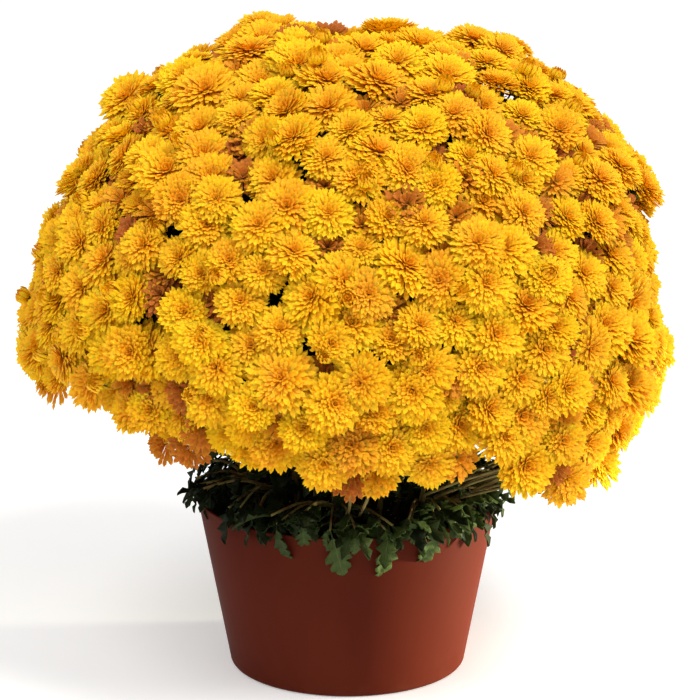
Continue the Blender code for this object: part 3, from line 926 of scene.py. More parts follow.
@dataclass
class Sprays:
    """The petals of all the blooms and buds, in a piece for each spray."""

    heads: Sequence[Head]
    kit: PetalKit = field(default_factory=PetalKit)
    finish: PetalFinish = field(default_factory=PetalFinish)
    fullness: float = 1.02
    # Where a bloom meets a lower neighbour, and a higher one: how far it reaches past their middle, and how
    # much its petals are pushed back and up
    spreading: Sequence[float] = (0.0060, 0.50, 0.22)
    tucked: Sequence[float] = (0.0030, 0.90, -0.20)
    reach: float = 0.060
    faded_share: float = 0.05
    faded_tones: tuple[float, float] = (1.0, 1.2)
    # Tones past 1 paint the low blooms dark rust as painted shade
    low_tones: tuple[float, float] = (1.15, 1.5)
    bud_tones: tuple[float, float] = (0.0, 0.3)
    seed: int = 8

    def pressed(self, head: Head, points: np.ndarray, near: Sequence[Head]) -> np.ndarray:
        """Spreads petals over a lower neighbour, and tucks them under a higher one.

        Args:
            head: The bloom.
            points: Its points, as offsets from its place.
            near: Its neighbours.

        Returns:
            The moved points.
        """
        facing = np.array(head.facing)
        for other in near:
            is_higher = (head.place - other.place).dot(head.facing + other.facing) > 0.0
            overlap, back, up = self.spreading if is_higher else self.tucked
            way = np.array(other.place - head.place)
            distance = np.linalg.norm(way)
            way = way / distance
            limit = distance * head.radius / (head.radius + other.radius) + overlap
            excess = np.maximum(points @ way - limit, 0.0)[:, None]
            points = points - way * excess * back + facing * excess * up
        return points

    def tone(self, kind: HeadKind, draw: random.Random) -> float:
        """How aged a head's petals are, and how dark the low blooms are painted as painted shade.

        Args:
            kind: The kind of head.
            draw: The draw for it.

        Returns:
            From 0 for young to 1 for aged, and past 1 for dark rust: a few blooms at random, painted shade on
            the low ones.
        """
        if kind is HeadKind.LOW:
            return draw.uniform(*self.low_tones)
        if kind is HeadKind.BUD:
            return draw.uniform(*self.bud_tones)
        return draw.uniform(*self.faded_tones) if draw.random() < self.faded_share else draw.random()

    def build(self) -> None:
        """Builds a piece for each spray."""
        draw = random.Random(self.seed)
        forms = {
            HeadKind.BLOOM: self.kit.blooms(), HeadKind.LOW: self.kit.shaded(), HeadKind.BUD: self.kit.buds()
        }
        material = self.finish.material()
        for number in range(max(head.spray for head in self.heads) + 1):
            bm = bmesh.new()
            for head in (head for head in self.heads if head.spray == number):
                form = draw.choice(forms[head.kind])
                near = [h for h in self.heads if h is not head and (h.place - head.place).length < self.reach]
                size = head.radius * (1.0 if head.kind is HeadKind.BUD else self.fullness)
                points = self.pressed(head, form.points @ head.axes() * size, near)
                form.add_to(bm, points + np.array(head.place), tone=self.tone(head.kind, draw))
            name = f"{number + 1:02d}"
            add_piece(f"petals_{name}", bm, material, f"blooms_{name}")
        for form in sum(forms.values(), []):
            form.forget()


# Stems and leaves


@dataclass
class Twig:
    """A stem's run of points, with its radius at both ends."""

    points: Sequence[Vector]
    radii: tuple[float, float]

    def at(self, share: float) -> Vector:
        """The point at a share of its run.

        Args:
            share: How far along it is.

        Returns:
            The point.
        """
        place = share * (len(self.points) - 1)
        low = min(int(place), len(self.points) - 2)
        return self.points[low].lerp(self.points[low + 1], place - low)

    def way(self, share: float) -> Vector:
        """Its direction at a share of its run."""
        return (self.at(min(1.0, share + 0.05)) - self.at(max(0.0, share - 0.05))).normalized()


def smooth_run(corners: Sequence[Vector], steps: int) -> list[Vector]:
    """A smooth run through corner points.

    Args:
        corners: The points that it goes through.
        steps: How many parts each stretch has.

    Returns:
        The points of the run.
    """
    ends = [corners[0] * 2 - corners[1], *corners, corners[-1] * 2 - corners[-2]]
    run = []
    for before, start, end, after in zip(ends, ends[1:], ends[2:], ends[3:]):
        for k in range(steps):
            t = k / steps
            run.append(
                (start * 2 + (end - before) * t + (before * 2 - start * 5 + end * 4 - after) * t**2
                 + (start * 3 - before - end * 3 + after) * t**3) / 2
            )
    return run + [corners[-1].copy()]


def green_mesh() -> bmesh.types.BMesh:
    """Starts a mesh with what the plant's finish reads: three numbers a vertex, and a map of the leaf.

    Returns:
        The mesh, still empty.
    """
    bm = bmesh.new()
    for name in ("stem", "tone", "below"):
        bm.verts.layers.float.new(name)
    bm.loops.layers.uv.new("leaf")
    return bm


@dataclass
class LeafShape:
    """A lobed leaf, with a stalk, a rib, and its lobes pointing forwards."""

    name: str
    # How far along each row of the blade lies, and half its width, in shares of the length
    outline: Sequence[Sequence[float]]
    columns: int
    fold: float = 0.28
    droop: float = 0.30
    ripple: float = 0.05
    forward: float = 0.35
    thickness: float = 0.012

    def form(self) -> Form:
        """Makes the leaf.

        Returns:
            The leaf, a unit long from its root at 0 on X, its upper side towards +Z.
        """
        bm = green_mesh()
        leaf_map, below = bm.loops.layers.uv["leaf"], bm.verts.layers.float["below"]
        rows = len(self.outline) - 1
        bmesh.ops.create_grid(bm, x_segments=rows, y_segments=self.columns, size=1.0)
        spots = {}
        for vert in bm.verts:
            row, share = round((vert.co.x + 1) / 2 * rows), vert.co.y
            along, half = self.outline[row]
            spots[vert] = ((share + 1) / 2, along)
            x = along + self.forward * half * share**2
            wave = self.ripple * math.sin(row * 2.1) * share**2
            vert.co = (x, share * half, self.fold * half * abs(share) - self.droop * along**2 + wave)
        for face in bm.faces:
            for loop in face.loops:
                loop[leaf_map].uv = spots[loop.vert]
        upper = set(bm.verts)
        bmesh.ops.recalc_face_normals(bm, faces=bm.faces)
        bmesh.ops.solidify(bm, geom=bm.faces[:], thickness=self.thickness)
        for vert in bm.verts:
            vert[below] = 0.0 if vert in upper else 1.0
        return Form(self.name, bm)


FINE_LEAF = LeafShape(
    "fine_leaf",
    (
        (0.0, 0.012), (0.16, 0.016), (0.22, 0.13), (0.30, 0.20), (0.36, 0.10), (0.46, 0.26), (0.56, 0.28),
        (0.62, 0.13), (0.70, 0.22), (0.78, 0.20), (0.83, 0.12), (0.91, 0.11), (1.0, 0.012),
    ),
    4,
)
PLAIN_LEAF = LeafShape(
    "plain_leaf",
    (
        (0.0, 0.012), (0.18, 0.02), (0.32, 0.17), (0.40, 0.07), (0.56, 0.24), (0.66, 0.10), (0.80, 0.15),
        (1.0, 0.02),
    ),
    2,
)


@dataclass(frozen=True)
class Foliage:
    """How twigs are clothed: leaves on each, least and greatest length, and how far along they reach."""

    each: int
    lengths: tuple[float, float]
    end: float


@dataclass
class Greenery:
    """The stems, stalks, bud scales and leaves of all the sprays, in a piece for each."""

    heads: Sequence[Head]
    mound: Mound
    finish: PlantFinish = field(default_factory=PlantFinish)
    soil_level: float = 0.130
    soil_crown: float = 0.0050
    planting_radius: float = 0.078
    planting_depth: float = 0.022
    planting_crowding: float = 0.8
    fork_depth: float = 0.078
    stem_top_lean: float = 0.06
    stem_bend_rise: float = 0.35
    # Radius of each kind of stem where it starts and where it ends
    main_radii: tuple[float, float] = (0.0028, 0.0019)
    limb_radii: tuple[float, float] = (0.0017, 0.0013)
    stalk_radii: tuple[float, float] = (0.0011, 0.0009)
    skirt_radii: tuple[float, float] = (0.0019, 0.0011)
    shoot_radii: tuple[float, float] = (0.0016, 0.0011)
    hanging_radii: tuple[float, float] = (0.0013, 0.0008)
    # The side stems: how far up the main stem they start, and how far towards their heads they reach
    limbs: int = 5
    first_limb: float = 0.80
    limb_step: float = 0.04
    limb_reach: float = 0.55
    limb_bow: float = 0.12
    stalk_starts: tuple[float, float] = (0.6, 1.0)
    stalk_knee: float = 0.35
    # Heads under this height have a stem of their own that starts, bends and rises between these limits
    skirt_height: float = 0.235
    skirt_starts: tuple[float, float] = (0.10, 0.25)
    skirt_bow_radii: tuple[float, float] = (0.100, 0.122)
    skirt_bow_heights: tuple[float, float] = (0.158, 0.176)
    bud_cup: float = 0.50
    bloom_cup: float = 0.26
    # No shade leaf lies both below this height and outside this radius, where it would hang out of the mound
    shade_height: float = 0.310
    shade_radius: float = 0.115
    on_twigs: Foliage = Foliage(3, (0.038, 0.056), 0.75)
    on_limbs: Foliage = Foliage(6, (0.050, 0.060), 1.0)
    on_skirt: Foliage = Foliage(2, (0.014, 0.026), 0.9)
    on_main: Foliage = Foliage(14, (0.030, 0.046), 1.0)
    rim_stems: int = 9
    shoot_station: float = 0.12
    shoot_turns: Sequence[float] = (-0.16, 0.18, 0.42, -0.38)
    shoot_radius: float = 0.126
    shoot_heights: Sequence[float] = (0.152, 0.166)
    # Their leaves: swing and drop from the shoot's own way, and length
    shoot_leaves: int = 9
    shoot_leaf_swings: tuple[float, float] = (-1.2, 1.2)
    shoot_leaf_drops: tuple[float, float] = (-0.2, 1.5)
    shoot_leaf_shares: tuple[float, float] = (0.45, 0.90)
    leaf_length: float = 0.042
    # Where the sun comes from, how much smaller the leaves away from it are, and how dark they are painted
    # there and how bright towards it, as painted shade and painted light
    shade_loss: float = 0.16
    shade_light: float = 0.08
    bright_light: float = 0.5
    bright_side: Vector = field(default_factory=lambda: Vector((0.5, -0.86, 0.0)))
    # The leaves that hang over the front of the rim: place across, height of the tip, and length in metres
    hanging_leaves: Sequence[Sequence[float]] = (
        (-0.014, 0.113, 0.034), (0.006, 0.133, 0.024), (0.031, 0.112, 0.037), (0.050, 0.136, 0.026),
        (0.073, 0.116, 0.040), (0.094, 0.126, 0.036), (-0.036, 0.136, 0.026), (-0.058, 0.124, 0.033),
        (-0.088, 0.140, 0.024),
    )
    hanging_swings: tuple[float, float] = (-0.35, 0.35)
    hanging_tones: tuple[float, float] = (0.75, 1.0)
    # Smaller leaves beside each: swing from it, lift off the pot, share of its length, and tone
    side_leaves: int = 4
    side_leaf_swings: tuple[float, float] = (0.5, 1.9)
    side_leaf_lifts: tuple[float, float] = (0.1, 0.6)
    side_leaf_shares: tuple[float, float] = (0.45, 0.85)
    side_leaf_tones: tuple[float, float] = (0.2, 0.9)
    seed: int = 21

    def __post_init__(self) -> None:
        """Makes the forms that the greenery is put together from."""
        self.draw = random.Random(self.seed)
        self.fine_leaf = FINE_LEAF.form()
        self.plain_leaf = PLAIN_LEAF.form()
        self.shade_leaf = self.shade_form()
        self.stem_tube = self.tube_form("stem_tube", 7, 10)
        self.limb_tube = self.tube_form("limb_tube", 5, 5)
        self.stalk_tube = self.tube_form("stalk_tube", 3, 3)
        self.scales = self.scale_form()

    @staticmethod
    def tube_form(name: str, sides: int, rings: int) -> Form:
        """A closed tube of radius 1 from 0 to 1 on Z.

        Args:
            name: The form's name.
            sides: Its sides.
            rings: How many stretches it can bend at.

        Returns:
            The tube.
        """
        bm = green_mesh()
        bmesh.ops.create_cone(bm, cap_ends=True, segments=sides, radius1=1.0, radius2=1.0, depth=1.0)
        bmesh.ops.translate(bm, verts=bm.verts, vec=UP / 2)
        long_edges = [e for e in bm.edges if abs(e.verts[0].co.z - e.verts[1].co.z) > 0.5]
        bmesh.ops.subdivide_edges(bm, edges=long_edges, cuts=rings - 1, use_grid_fill=True)
        return Form(name, bm)

    @staticmethod
    def scale_form() -> Form:
        """The green cup of scales under a head.

        Returns:
            A round knob of radius 1.
        """
        bm = green_mesh()
        bmesh.ops.create_uvsphere(bm, u_segments=5, v_segments=3, radius=1.0)
        bmesh.ops.scale(bm, verts=bm.verts, vec=(1.0, 1.0, 0.75))
        return Form("scales", bm)

    @staticmethod
    def shade_form() -> Form:
        """A plain closed leaf for the dark inside of the mound.

        Returns:
            The leaf, a unit long from its root at 0 on X.
        """
        bm = green_mesh()
        bmesh.ops.create_uvsphere(bm, u_segments=4, v_segments=4, radius=0.5)
        bmesh.ops.rotate(bm, verts=bm.verts, matrix=Matrix.Rotation(math.pi / 2, 3, "Y"))
        bmesh.ops.rotate(bm, verts=bm.verts, matrix=Matrix.Rotation(math.pi / 2, 3, "X"))
        bmesh.ops.scale(bm, verts=bm.verts, vec=(1.0, 0.75, 0.03))
        for vert in bm.verts:
            vert.co.x += 0.5
            vert.co.z += 0.35 * abs(vert.co.y) - 0.25 * vert.co.x**2
        return Form("shade_leaf", bm)

    def add_tube(self, bm: bmesh.types.BMesh, twig: Twig, form: Form) -> None:
        """Bends a tube along a twig and adds it.

        Args:
            bm: The mesh that gets it.
            twig: The run that it follows.
            form: The tube.
        """
        points = np.empty_like(form.points)
        for height in np.unique(form.points[:, 2].round(4)):
            ring = np.abs(form.points[:, 2] - height) < 0.001
            turn = np.array(twig.way(float(height)).to_track_quat("Z", "Y").to_matrix())
            radius = twig.radii[0] + (twig.radii[1] - twig.radii[0]) * float(height)
            flat = form.points[ring] * (radius, radius, 0.0)
            points[ring] = flat @ turn.T + np.array(twig.at(float(height)))
        form.add_to(bm, points, stem=1.0, tone=self.draw.random(), below=0.0)

    def add_leaf(
        self, bm: bmesh.types.BMesh, form: Form, place: Vector, way: Vector, length: float, tone: float,
        face: Vector = UP,
    ) -> None:
        """Adds a leaf.

        Args:
            bm: The mesh that gets it.
            form: The leaf.
            place: Where its stalk starts.
            way: The direction that it grows in.
            length: Its length.
            tone: How much of the brighter green it gets, at random and, on the rim's leaves, as painted
                light.
            face: The direction that its upper face turns to.
        """
        way = way.normalized()
        side = face.cross(way)
        side = side.normalized() if side.length > 0.05 else Vector((1.0, 0.0, 0.0))
        roll = Matrix.Rotation(self.draw.uniform(-0.5, 0.5), 3, way)
        turn = roll @ Matrix((way, side, way.cross(side))).transposed()
        bend = 1.0 + self.draw.uniform(-0.5, 0.8)
        points = form.points * (length, length, length * bend)
        form.add_to(bm, points @ np.array(turn).T + np.array(place), stem=0.0, tone=tone)

    def stem_line(self, heads: Sequence[Head], site: Site) -> list[Vector]:
        """The main stem's corners, as in the CAD.

        Args:
            heads: The spray's heads.
            site: The spray's polar angle and azimuth.

        Returns:
            Its foot, its way out of the mix, its bend and its fork.
        """
        polar, azimuth = site
        out = self.planting_radius * (polar / math.radians(self.mound.skirt_angle)) ** self.planting_crowding
        foot = heading(math.pi / 2, azimuth) * out + UP * (self.soil_level - self.planting_depth)
        centre = sum((head.place for head in heads), Vector()) / len(heads)
        fork = centre + (self.mound.fork_centre - centre).normalized() * self.fork_depth
        clear = foot + UP * (self.planting_depth + 2 * self.soil_crown)
        top = clear + (fork - foot) * self.stem_top_lean
        upright = clear + UP * (fork.z - foot.z) * self.stem_bend_rise
        return [foot, top, top / 4 + upright / 2 + fork / 4, fork]

    def stalks(
        self, bm: bmesh.types.BMesh, heads: Sequence[Head], main: Twig
    ) -> tuple[list[Twig], list[Twig]]:
        """Adds side stems from the fork, and from them a stalk to each head.

        Args:
            bm: The mesh that gets them.
            heads: The spray's heads.
            main: Its main stem.

        Returns:
            The side stems and stalks, and the stems of the skirt.
        """
        fork, along = main.at(1.0), main.way(1.0)
        side = along.orthogonal().normalized()
        other_side = along.cross(side)

        def turn_of(head: Head) -> float:
            """The head's azimuth round the fork."""
            way = head.place - fork
            return math.atan2(way.dot(other_side), way.dot(side))

        ordered = sorted(heads, key=turn_of)
        made, skirt = [], []
        for k in range(self.limbs):
            group = ordered[k * len(ordered) // self.limbs:(k + 1) * len(ordered) // self.limbs]
            middle = sum((head.root for head in group), Vector()) / len(group)
            start = main.at(self.first_limb + self.limb_step * k)
            end = start.lerp(middle, self.limb_reach)
            bow = (start + end) / 2 + (end - start).length * self.limb_bow * along
            limb = Twig(smooth_run([start, bow, end], 4), self.limb_radii)
            self.add_tube(bm, limb, self.limb_tube)
            made.append(limb)
            for head in group:
                root = head.root
                if head.place.z < self.skirt_height:
                    skirt.append(self.skirt_stem(main, root))
                    self.add_tube(bm, skirt[-1], self.limb_tube)
                else:
                    joint = limb.at(self.draw.uniform(*self.stalk_starts))
                    knee = root - head.facing * (root - joint).length * self.stalk_knee
                    stalk = Twig(smooth_run([joint, knee.lerp(joint, 0.15), root], 2), self.stalk_radii)
                    self.add_tube(bm, stalk, self.stalk_tube)
                    made.append(stalk)
                self.add_scales(bm, head)
        return made, skirt

    def skirt_stem(self, main: Twig, root: Vector) -> Twig:
        """A stem that leans out over the pot's rim and rises to a head of the skirt.

        Args:
            main: The main stem that it grows from.
            root: The point under the head.

        Returns:
            The stem.
        """
        start = main.at(self.draw.uniform(*self.skirt_starts))
        outward = Vector((root.x, root.y, 0.0)).normalized()
        bow = outward * self.draw.uniform(*self.skirt_bow_radii)
        bow = bow + UP * self.draw.uniform(*self.skirt_bow_heights)
        return Twig(smooth_run([start, start.lerp(bow, 0.6) + UP * 0.004, bow, root], 3), self.skirt_radii)

    def add_scales(self, bm: bmesh.types.BMesh, head: Head) -> None:
        """Adds the green cup under a head.

        Args:
            bm: The mesh that gets it.
            head: The head.
        """
        size = head.radius * (self.bud_cup if head.kind is HeadKind.BUD else self.bloom_cup)
        points = self.scales.points * size @ head.axes() + np.array(head.root + head.facing * size * 0.3)
        self.scales.add_to(bm, points, stem=0.3, tone=0.6, below=0.0)

    def clothe(self, bm: bmesh.types.BMesh, twigs: Sequence[Twig], form: Form, foliage: Foliage) -> None:
        """Adds leaves along twigs.

        Args:
            bm: The mesh that gets them.
            twigs: The twigs.
            form: The leaf.
            foliage: How many leaves, how long and how far along.
        """
        is_shade = form is self.shade_leaf
        for number, twig in enumerate(twigs):
            for k in range(foliage.each):
                share = (k + self.draw.uniform(0.2, 0.8)) / foliage.each * foliage.end
                place, along = twig.at(share), twig.way(share)
                if is_shade and place.z < self.shade_height and place.xy.length > self.shade_radius:
                    continue
                azimuth = (number + k) * GOLDEN_ANGLE
                outward = Matrix.Rotation(azimuth, 3, along) @ along.orthogonal().normalized()
                way = outward - along * 0.1 - UP * 0.15
                face = (heading(math.pi / 2, azimuth) if k % 2 else along) if is_shade else UP
                length, tone = self.draw.uniform(*foliage.lengths), self.draw.uniform(0.0, 0.25)
                self.add_leaf(bm, form, place, way, length, tone, face)

    def rim_shoots(self, bm: bmesh.types.BMesh, main: Twig, azimuth: float) -> None:
        """Adds low shoots that lean out over the pot's rim, with the leaves that hang from them.

        Args:
            bm: The mesh that gets them.
            main: The main stem.
            azimuth: The stem's azimuth.
        """
        for turn in self.shoot_turns:
            outward = heading(math.pi / 2, azimuth + turn)
            brightness = outward.dot(self.bright_side)
            end = outward * self.shoot_radius + UP * self.draw.uniform(*self.shoot_heights)
            start = main.at(1 / 3 + self.shoot_station / 3)
            bow = (start + end) / 2 + UP * 0.008
            shoot = Twig(smooth_run([start, bow, end], 4), self.shoot_radii)
            self.add_tube(bm, shoot, self.limb_tube)
            for k in range(self.shoot_leaves):
                place = shoot.at(0.45 + 0.55 * k / (self.shoot_leaves - 1))
                way = Matrix.Rotation(self.draw.uniform(*self.shoot_leaf_swings), 3, "Z") @ outward
                way = way - UP * self.draw.uniform(*self.shoot_leaf_drops)
                length = self.leaf_length * self.draw.uniform(*self.shoot_leaf_shares)
                length *= 1.0 - self.shade_loss * (1.0 - brightness)
                # Painted light and shade: leaves facing the sun are painted brighter green, the others darker
                light = self.shade_light + self.bright_light * max(0.0, brightness) ** 3
                self.add_leaf(bm, self.plain_leaf, place, way, length, self.draw.random() * light)

    def hanging_leaf(
        self, bm: bmesh.types.BMesh, main: Twig, across: float, height: float, length: float
    ) -> None:
        """Adds a shoot to the front of the rim, with a bright leaf that hangs from it and four at its side,
        greener as painted light where they face the sun.

        Args:
            bm: The mesh that gets it.
            main: The stem that it grows from.
            across: Where the leaf hangs, to the right of the middle.
            height: The height of its tip.
            length: Its length.
        """
        out = self.shoot_radius + 0.004
        tip = Vector((across, -math.sqrt(out**2 - across**2), height))
        base = Vector((tip.x, tip.y, 0.0)) * 0.98 + UP * max(height + length * 0.92, 0.153)
        start = main.at(0.38)
        shoot = Twig(smooth_run([start, (start + base) / 2 + UP * 0.010, base], 4), self.hanging_radii)
        self.add_tube(bm, shoot, self.limb_tube)
        outward = Vector((tip.x, tip.y, 0.0)).normalized()
        down = Matrix.Rotation(self.draw.uniform(*self.hanging_swings), 3, outward) @ (tip - base)
        # Painted light: the more the leaves face the sun, the brighter green they are painted
        light = max(0.1, outward.dot(self.bright_side)) ** 2
        tone = self.draw.uniform(*self.hanging_tones) * light
        self.add_leaf(bm, self.fine_leaf, base, down, down.length, tone, outward)
        for k in range(self.side_leaves):
            swing = (1 if k % 2 else -1) * self.draw.uniform(*self.side_leaf_swings)
            way = Matrix.Rotation(swing, 3, outward) @ down.normalized()
            way += outward * self.draw.uniform(*self.side_leaf_lifts)
            size = length * self.draw.uniform(*self.side_leaf_shares)
            tone = self.draw.uniform(*self.side_leaf_tones) * light
            self.add_leaf(bm, self.fine_leaf, shoot.at(0.85 + 0.04 * k), way, size, tone)

    def nearest_stem(self, across: float, sites: Sequence[Site]) -> int:
        """Which of the rim's stems a leaf that hangs over the front of the rim grows from.

        Args:
            across: Where the leaf hangs, to the right of the middle.
            sites: The sprays' sites.

        Returns:
            The number of the nearest.
        """
        way = Vector((across, -math.sqrt(self.shoot_radius**2 - across**2), 0.0)).normalized()
        outer = range(len(sites) - self.rim_stems, len(sites))
        return max(outer, key=lambda number: heading(math.pi / 2, sites[number][1]).dot(way))

    def build(self) -> None:
        """Builds a piece for each spray."""
        material = self.finish.material()
        sites = self.mound.spiral(self.mound.sprays)
        for number, site in enumerate(sites):
            heads = [head for head in self.heads if head.spray == number]
            bm = bmesh.new()
            main = Twig(smooth_run(self.stem_line(heads, site), 8), self.main_radii)
            self.add_tube(bm, main, self.stem_tube)
            twigs, skirt = self.stalks(bm, heads, main)
            limbs = [twig for twig in twigs if twig.radii == self.limb_radii]
            self.clothe(bm, twigs, self.shade_leaf, self.on_twigs)
            self.clothe(bm, limbs, self.shade_leaf, self.on_limbs)
            self.clothe(bm, skirt, self.plain_leaf, self.on_skirt)
            self.clothe(bm, [main], self.plain_leaf, self.on_main)
            if number >= len(sites) - self.rim_stems:
                self.rim_shoots(bm, main, site[1])
            for leaf in self.hanging_leaves:
                if self.nearest_stem(leaf[0], sites) == number:
                    self.hanging_leaf(bm, main, *leaf)
            name = f"{number + 1:02d}"
            add_piece(f"stems_and_leaves_{name}", bm, material, f"leafy_stem_{name}")
        for form in vars(self).values():
            if isinstance(form, Form):
                form.forget()


# The pot and what fills it


Profile = list[tuple[float, float]]


def turned(profile: Profile, sides: int) -> bmesh.types.BMesh:
    """A closed solid of revolution.

    Args:
        profile: Radius and height of each corner, from the axis to the axis.
        sides: Steps round.

    Returns:
        The solid.
    """
    bm = bmesh.new()
    verts = [bm.verts.new((radius, 0.0, height)) for radius, height in profile]
    edges = [bm.edges.new(pair) for pair in zip(verts, verts[1:])]
    bmesh.ops.spin(
        bm, geom=verts + edges, cent=(0, 0, 0), axis=(0, 0, 1), angle=math.tau, steps=sides, use_merge=True
    )
    bmesh.ops.remove_doubles(bm, verts=bm.verts, dist=1e-6)
    bmesh.ops.recalc_face_normals(bm, faces=bm.faces)
    for face in bm.faces:
        face.smooth = True
    return bm


@dataclass
class Pot:
    """The plain tapered pot, with a rounded foot and lip and drain holes in its floor."""

    top_radius: float = 0.1245
    base_radius: float = 0.0972
    height: float = 0.145
    wall: float = 0.0025
    floor: float = 0.0030
    corner: float = 0.003
    foot_round: float = 0.0050
    sides: int = 128
    arc_steps: int = 6
    smooth_under: float = 35.0
    drain_holes: int = 5
    drain_radius: float = 0.0050
    drain_ring: float = 0.068
    drain_sides: int = 24
    finish: PotFinish = field(default_factory=PotFinish)

    def side_radius(self, height: float) -> float:
        """Outer radius of the straight side at a height."""
        return self.base_radius + (self.top_radius - self.base_radius) / self.height * height

    def inner_radius(self, height: float) -> float:
        """Inner radius of the straight side at a height."""
        return self.side_radius(height) - self.wall

    def arc(self, centre: Sequence[float], radius: float, start: float, end: float) -> Profile:
        """Points of an arc of the profile, from one angle in degrees to another."""
        angles = np.radians(np.linspace(start, end, self.arc_steps + 1))
        return [(centre[0] + radius * math.cos(a), centre[1] + radius * math.sin(a)) for a in angles]

    def profile(self) -> Profile:
        """The pot's section.

        Returns:
            Its corners, from the floor's underside round to the floor.
        """
        lip = self.wall / 2
        foot_centre = (self.side_radius(self.foot_round) - self.foot_round, self.foot_round)
        lip_centre = (self.side_radius(self.height) - lip, self.height - lip)
        hole = self.drain_ring
        return [
            (0.0, 0.0), (hole, 0.0), *self.arc(foot_centre, self.foot_round, -90.0, 0.0),
            *self.arc(lip_centre, lip, 0.0, 180.0),
            (self.inner_radius(self.floor + self.corner), self.floor + self.corner),
            (self.inner_radius(self.floor) - self.corner, self.floor), (hole, self.floor), (0.0, self.floor),
        ]

    def build(self) -> None:
        """Builds the pot."""
        bm = turned(self.profile(), self.sides)
        for edge in bm.edges:
            edge.smooth = edge.calc_face_angle(0.0) < math.radians(self.smooth_under)
        cutter = bmesh.new()
        for k in range(self.drain_holes):
            turn = Matrix.Rotation(math.tau * (k + 0.5) / self.drain_holes, 4, "Z")
            place = turn @ Matrix.Translation((self.drain_ring, 0.0, self.floor / 2))
            bmesh.ops.create_cone(
                cutter, cap_ends=True, segments=self.drain_sides, radius1=self.drain_radius,
                radius2=self.drain_radius, depth=self.floor * 3, matrix=place,
            )
        add_piece("plastic_pot", self.bored(bm, cutter), self.finish.material(), "pot")

    @staticmethod
    def bored(solid: bmesh.types.BMesh, cutter: bmesh.types.BMesh) -> bmesh.types.BMesh:
        """Cuts one solid out of another.

        Args:
            solid: The solid, which is freed.
            cutter: What is cut out of it, which is freed.

        Returns:
            What is left.
        """
        objects = []
        for name, source in (("solid", solid), ("cutter", cutter)):
            mesh = bpy.data.meshes.new(name)
            source.to_mesh(mesh)
            source.free()
            objects.append(bpy.data.objects.new(name, mesh))
            bpy.context.scene.collection.objects.link(objects[-1])
        cut = objects[0].modifiers.new("holes", "BOOLEAN")
        cut.operation = "DIFFERENCE"
        cut.solver = "EXACT"
        cut.object = objects[1]
        graph = bpy.context.evaluated_depsgraph_get()
        result = bmesh.new()
        result.from_mesh(objects[0].evaluated_get(graph).to_mesh())
        for obj in objects:
            mesh = obj.data
            bpy.data.objects.remove(obj)
            bpy.data.meshes.remove(mesh)
        return result


@dataclass
class GrowingMix:
    """The growing mix: a turned body whose top is crumbled, with loose crumbs on it."""

    pot: Pot
    level: float = 0.130
    shoulder_rise: float = 0.0035
    shoulder_share: float = 0.6
    crown_rise: float = 0.0050
    clearance: float = 0.0006
    sides: int = 72
    rings: int = 18
    crumble: float = 0.0022
    crumble_scale: float = 95.0
    crumbs: int = 260
    crumb_radii: Sequence[float] = (0.0012, 0.0030)
    crumb_margin: float = 0.004
    crumb_lift: float = 0.0004
    seed: int = 4
    finish: MixFinish = field(default_factory=MixFinish)

    def surface(self, radius: float) -> float:
        """Height of the mix's top.

        Args:
            radius: Distance from its middle.

        Returns:
            The height there.
        """
        top = self.pot.inner_radius(self.level) - self.clearance
        shares = (0.0, self.shoulder_share, 1.0)
        heights = (self.crown_rise, self.shoulder_rise, 0.0)
        return self.level + float(np.interp(radius / top, shares, heights))

    def build(self) -> None:
        """Builds the growing mix."""
        draw = random.Random(self.seed)
        low = self.pot.floor + self.clearance
        top = self.pot.inner_radius(self.level) - self.clearance
        radii = [top * (1.0 - k / self.rings) for k in range(self.rings + 1)]
        profile = [(0.0, low), (self.pot.inner_radius(low) - 2 * self.clearance - 0.003, low)]
        bm = turned(profile + [(radius, self.surface(radius)) for radius in radii], self.sides)
        for vert in bm.verts:
            if vert.co.z > self.level - self.clearance and vert.co.xy.length < top * 0.99:
                vert.co.z += self.crumble * noise.fractal(vert.co * self.crumble_scale, 0.6, 2.1, 4)
        for _ in range(self.crumbs):
            way = heading(math.pi / 2, draw.uniform(0, math.tau))
            place = way * math.sqrt(draw.random()) * (top - self.crumb_margin)
            place.z = self.surface(place.length) + self.crumb_lift
            turn = Matrix.Rotation(draw.uniform(0, math.tau), 4, Vector([draw.gauss(0, 1) for _ in range(3)]))
            size = Matrix.Diagonal((1.0, draw.uniform(0.6, 1.0), draw.uniform(0.5, 0.9), 1.0))
            spot = Matrix.Translation(place) @ turn @ size
            radius = draw.uniform(*self.crumb_radii)
            bmesh.ops.create_icosphere(bm, subdivisions=1, radius=radius, matrix=spot)
        for face in bm.faces:
            face.smooth = True
        add_piece("peat_mix", bm, self.finish.material(), "growing_mix")


# The studio


Place = tuple[float, float, float]


def looking(place: Place, aim: Place) -> Matrix:
    """The matrix of something at a place that looks at another."""
    start = Vector(place)
    return Matrix.Translation(start) @ (Vector(aim) - start).to_track_quat("-Z", "Y").to_matrix().to_4x4()


@dataclass(frozen=True)
class Lamp:
    """A soft lamp that looks at the plant: a square one, or one with a cone of so many degrees."""

    name: str
    place: Place
    size: float
    power: float
    aim: Place = (0.0, 0.0, 0.25)
    cone: float = 0.0
    tint: Colour = (1.0, 0.98, 0.95)
    cone_blend: float = 0.6

    def build(self, collection: bpy.types.Collection) -> None:
        """Builds the lamp.

        Args:
            collection: Where it is linked.
        """
        light = bpy.data.lights.new(self.name, "SPOT" if self.cone else "AREA")
        light.energy, light.color = self.power, self.tint
        if self.cone:
            light.spot_size, light.spot_blend = math.radians(self.cone), self.cone_blend
            light.shadow_soft_size = self.size
        else:
            light.size = self.size
        lamp = bpy.data.objects.new(self.name, light)
        lamp.matrix_world = looking(self.place, self.aim)
        collection.objects.link(lamp)


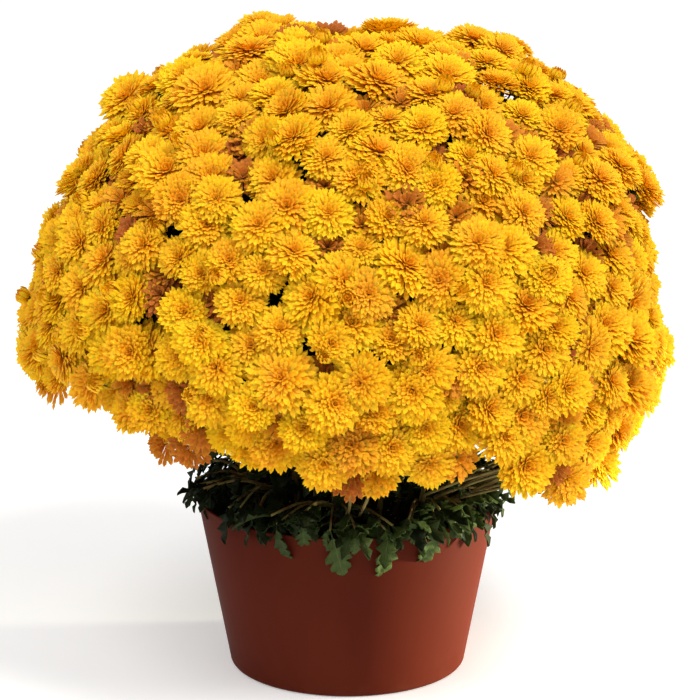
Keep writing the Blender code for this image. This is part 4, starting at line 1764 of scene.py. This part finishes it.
@dataclass
class Studio:
    """A pale floor, soft lamps and the camera at the photograph's angle."""

    camera_place: Place = (0.0, -3.0, 1.09)
    aim: Place = (0.0, 0.0, 0.262)
    focal_pixels: float = 3785.0
    sensor: float = 36.0
    shift: tuple[float, float] = (0.0036, 0.0094)
    lamps: Sequence[Lamp] = (
        Lamp("key", (2.50, -2.50, 4.70), 2.00, 248.0),
        Lamp("fill", (-2.20, -2.40, 5.20), 2.60, 115.0),
        Lamp("side", (1.70, 0.18, 0.10), 0.14, 620.0, (0.0, 0.0, 0.06), 13.0, (1.0, 0.94, 0.66)),
    )
    floor_size: float = 6.0
    sky: Colour = (1.0, 1.0, 1.0)
    sky_strength: float = 0.53
    finish: FloorFinish = field(default_factory=FloorFinish)

    def build(self) -> None:
        """Builds the studio."""
        scene = bpy.context.scene
        scene.view_settings.view_transform = "Standard"
        bm = bmesh.new()
        bmesh.ops.create_grid(bm, x_segments=1, y_segments=1, size=self.floor_size)
        mesh = bpy.data.meshes.new("floor")
        bm.to_mesh(mesh)
        bm.free()
        mesh.materials.append(self.finish.material())
        floor = bpy.data.objects.new("floor", mesh)
        scene.collection.objects.link(floor)
        for lamp in self.lamps:
            lamp.build(scene.collection)
        world = bpy.data.worlds.new("studio")
        scene.world = world
        world.use_nodes = True
        background = world.node_tree.nodes["Background"]
        background.inputs["Color"].default_value = (*self.sky, 1.0)
        background.inputs["Strength"].default_value = self.sky_strength
        data = bpy.data.cameras.new("camera")
        data.sensor_width = self.sensor
        data.lens = self.focal_pixels * self.sensor / PICTURE_SIZE
        data.shift_x, data.shift_y = self.shift
        camera = bpy.data.objects.new("camera", data)
        camera.matrix_world = looking(self.camera_place, self.aim)
        scene.collection.objects.link(camera)
        scene.camera = camera
        log.info("studio: %d lamps", len(self.lamps))


def write_sizes() -> None:
    """Brings the scene's transforms up to date."""
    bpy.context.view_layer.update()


def main() -> None:
    """Builds the plant, its pot and the studio."""
    logging.basicConfig(level=logging.INFO, format="%(name)s %(message)s")
    mound = Mound()
    heads = mound.heads()
    pot = Pot()
    pot.build()
    GrowingMix(pot).build()
    Greenery(heads, mound).build()
    Sprays(heads).build()
    Studio().build()
    write_sizes()


if __name__ == "__main__":
    main()
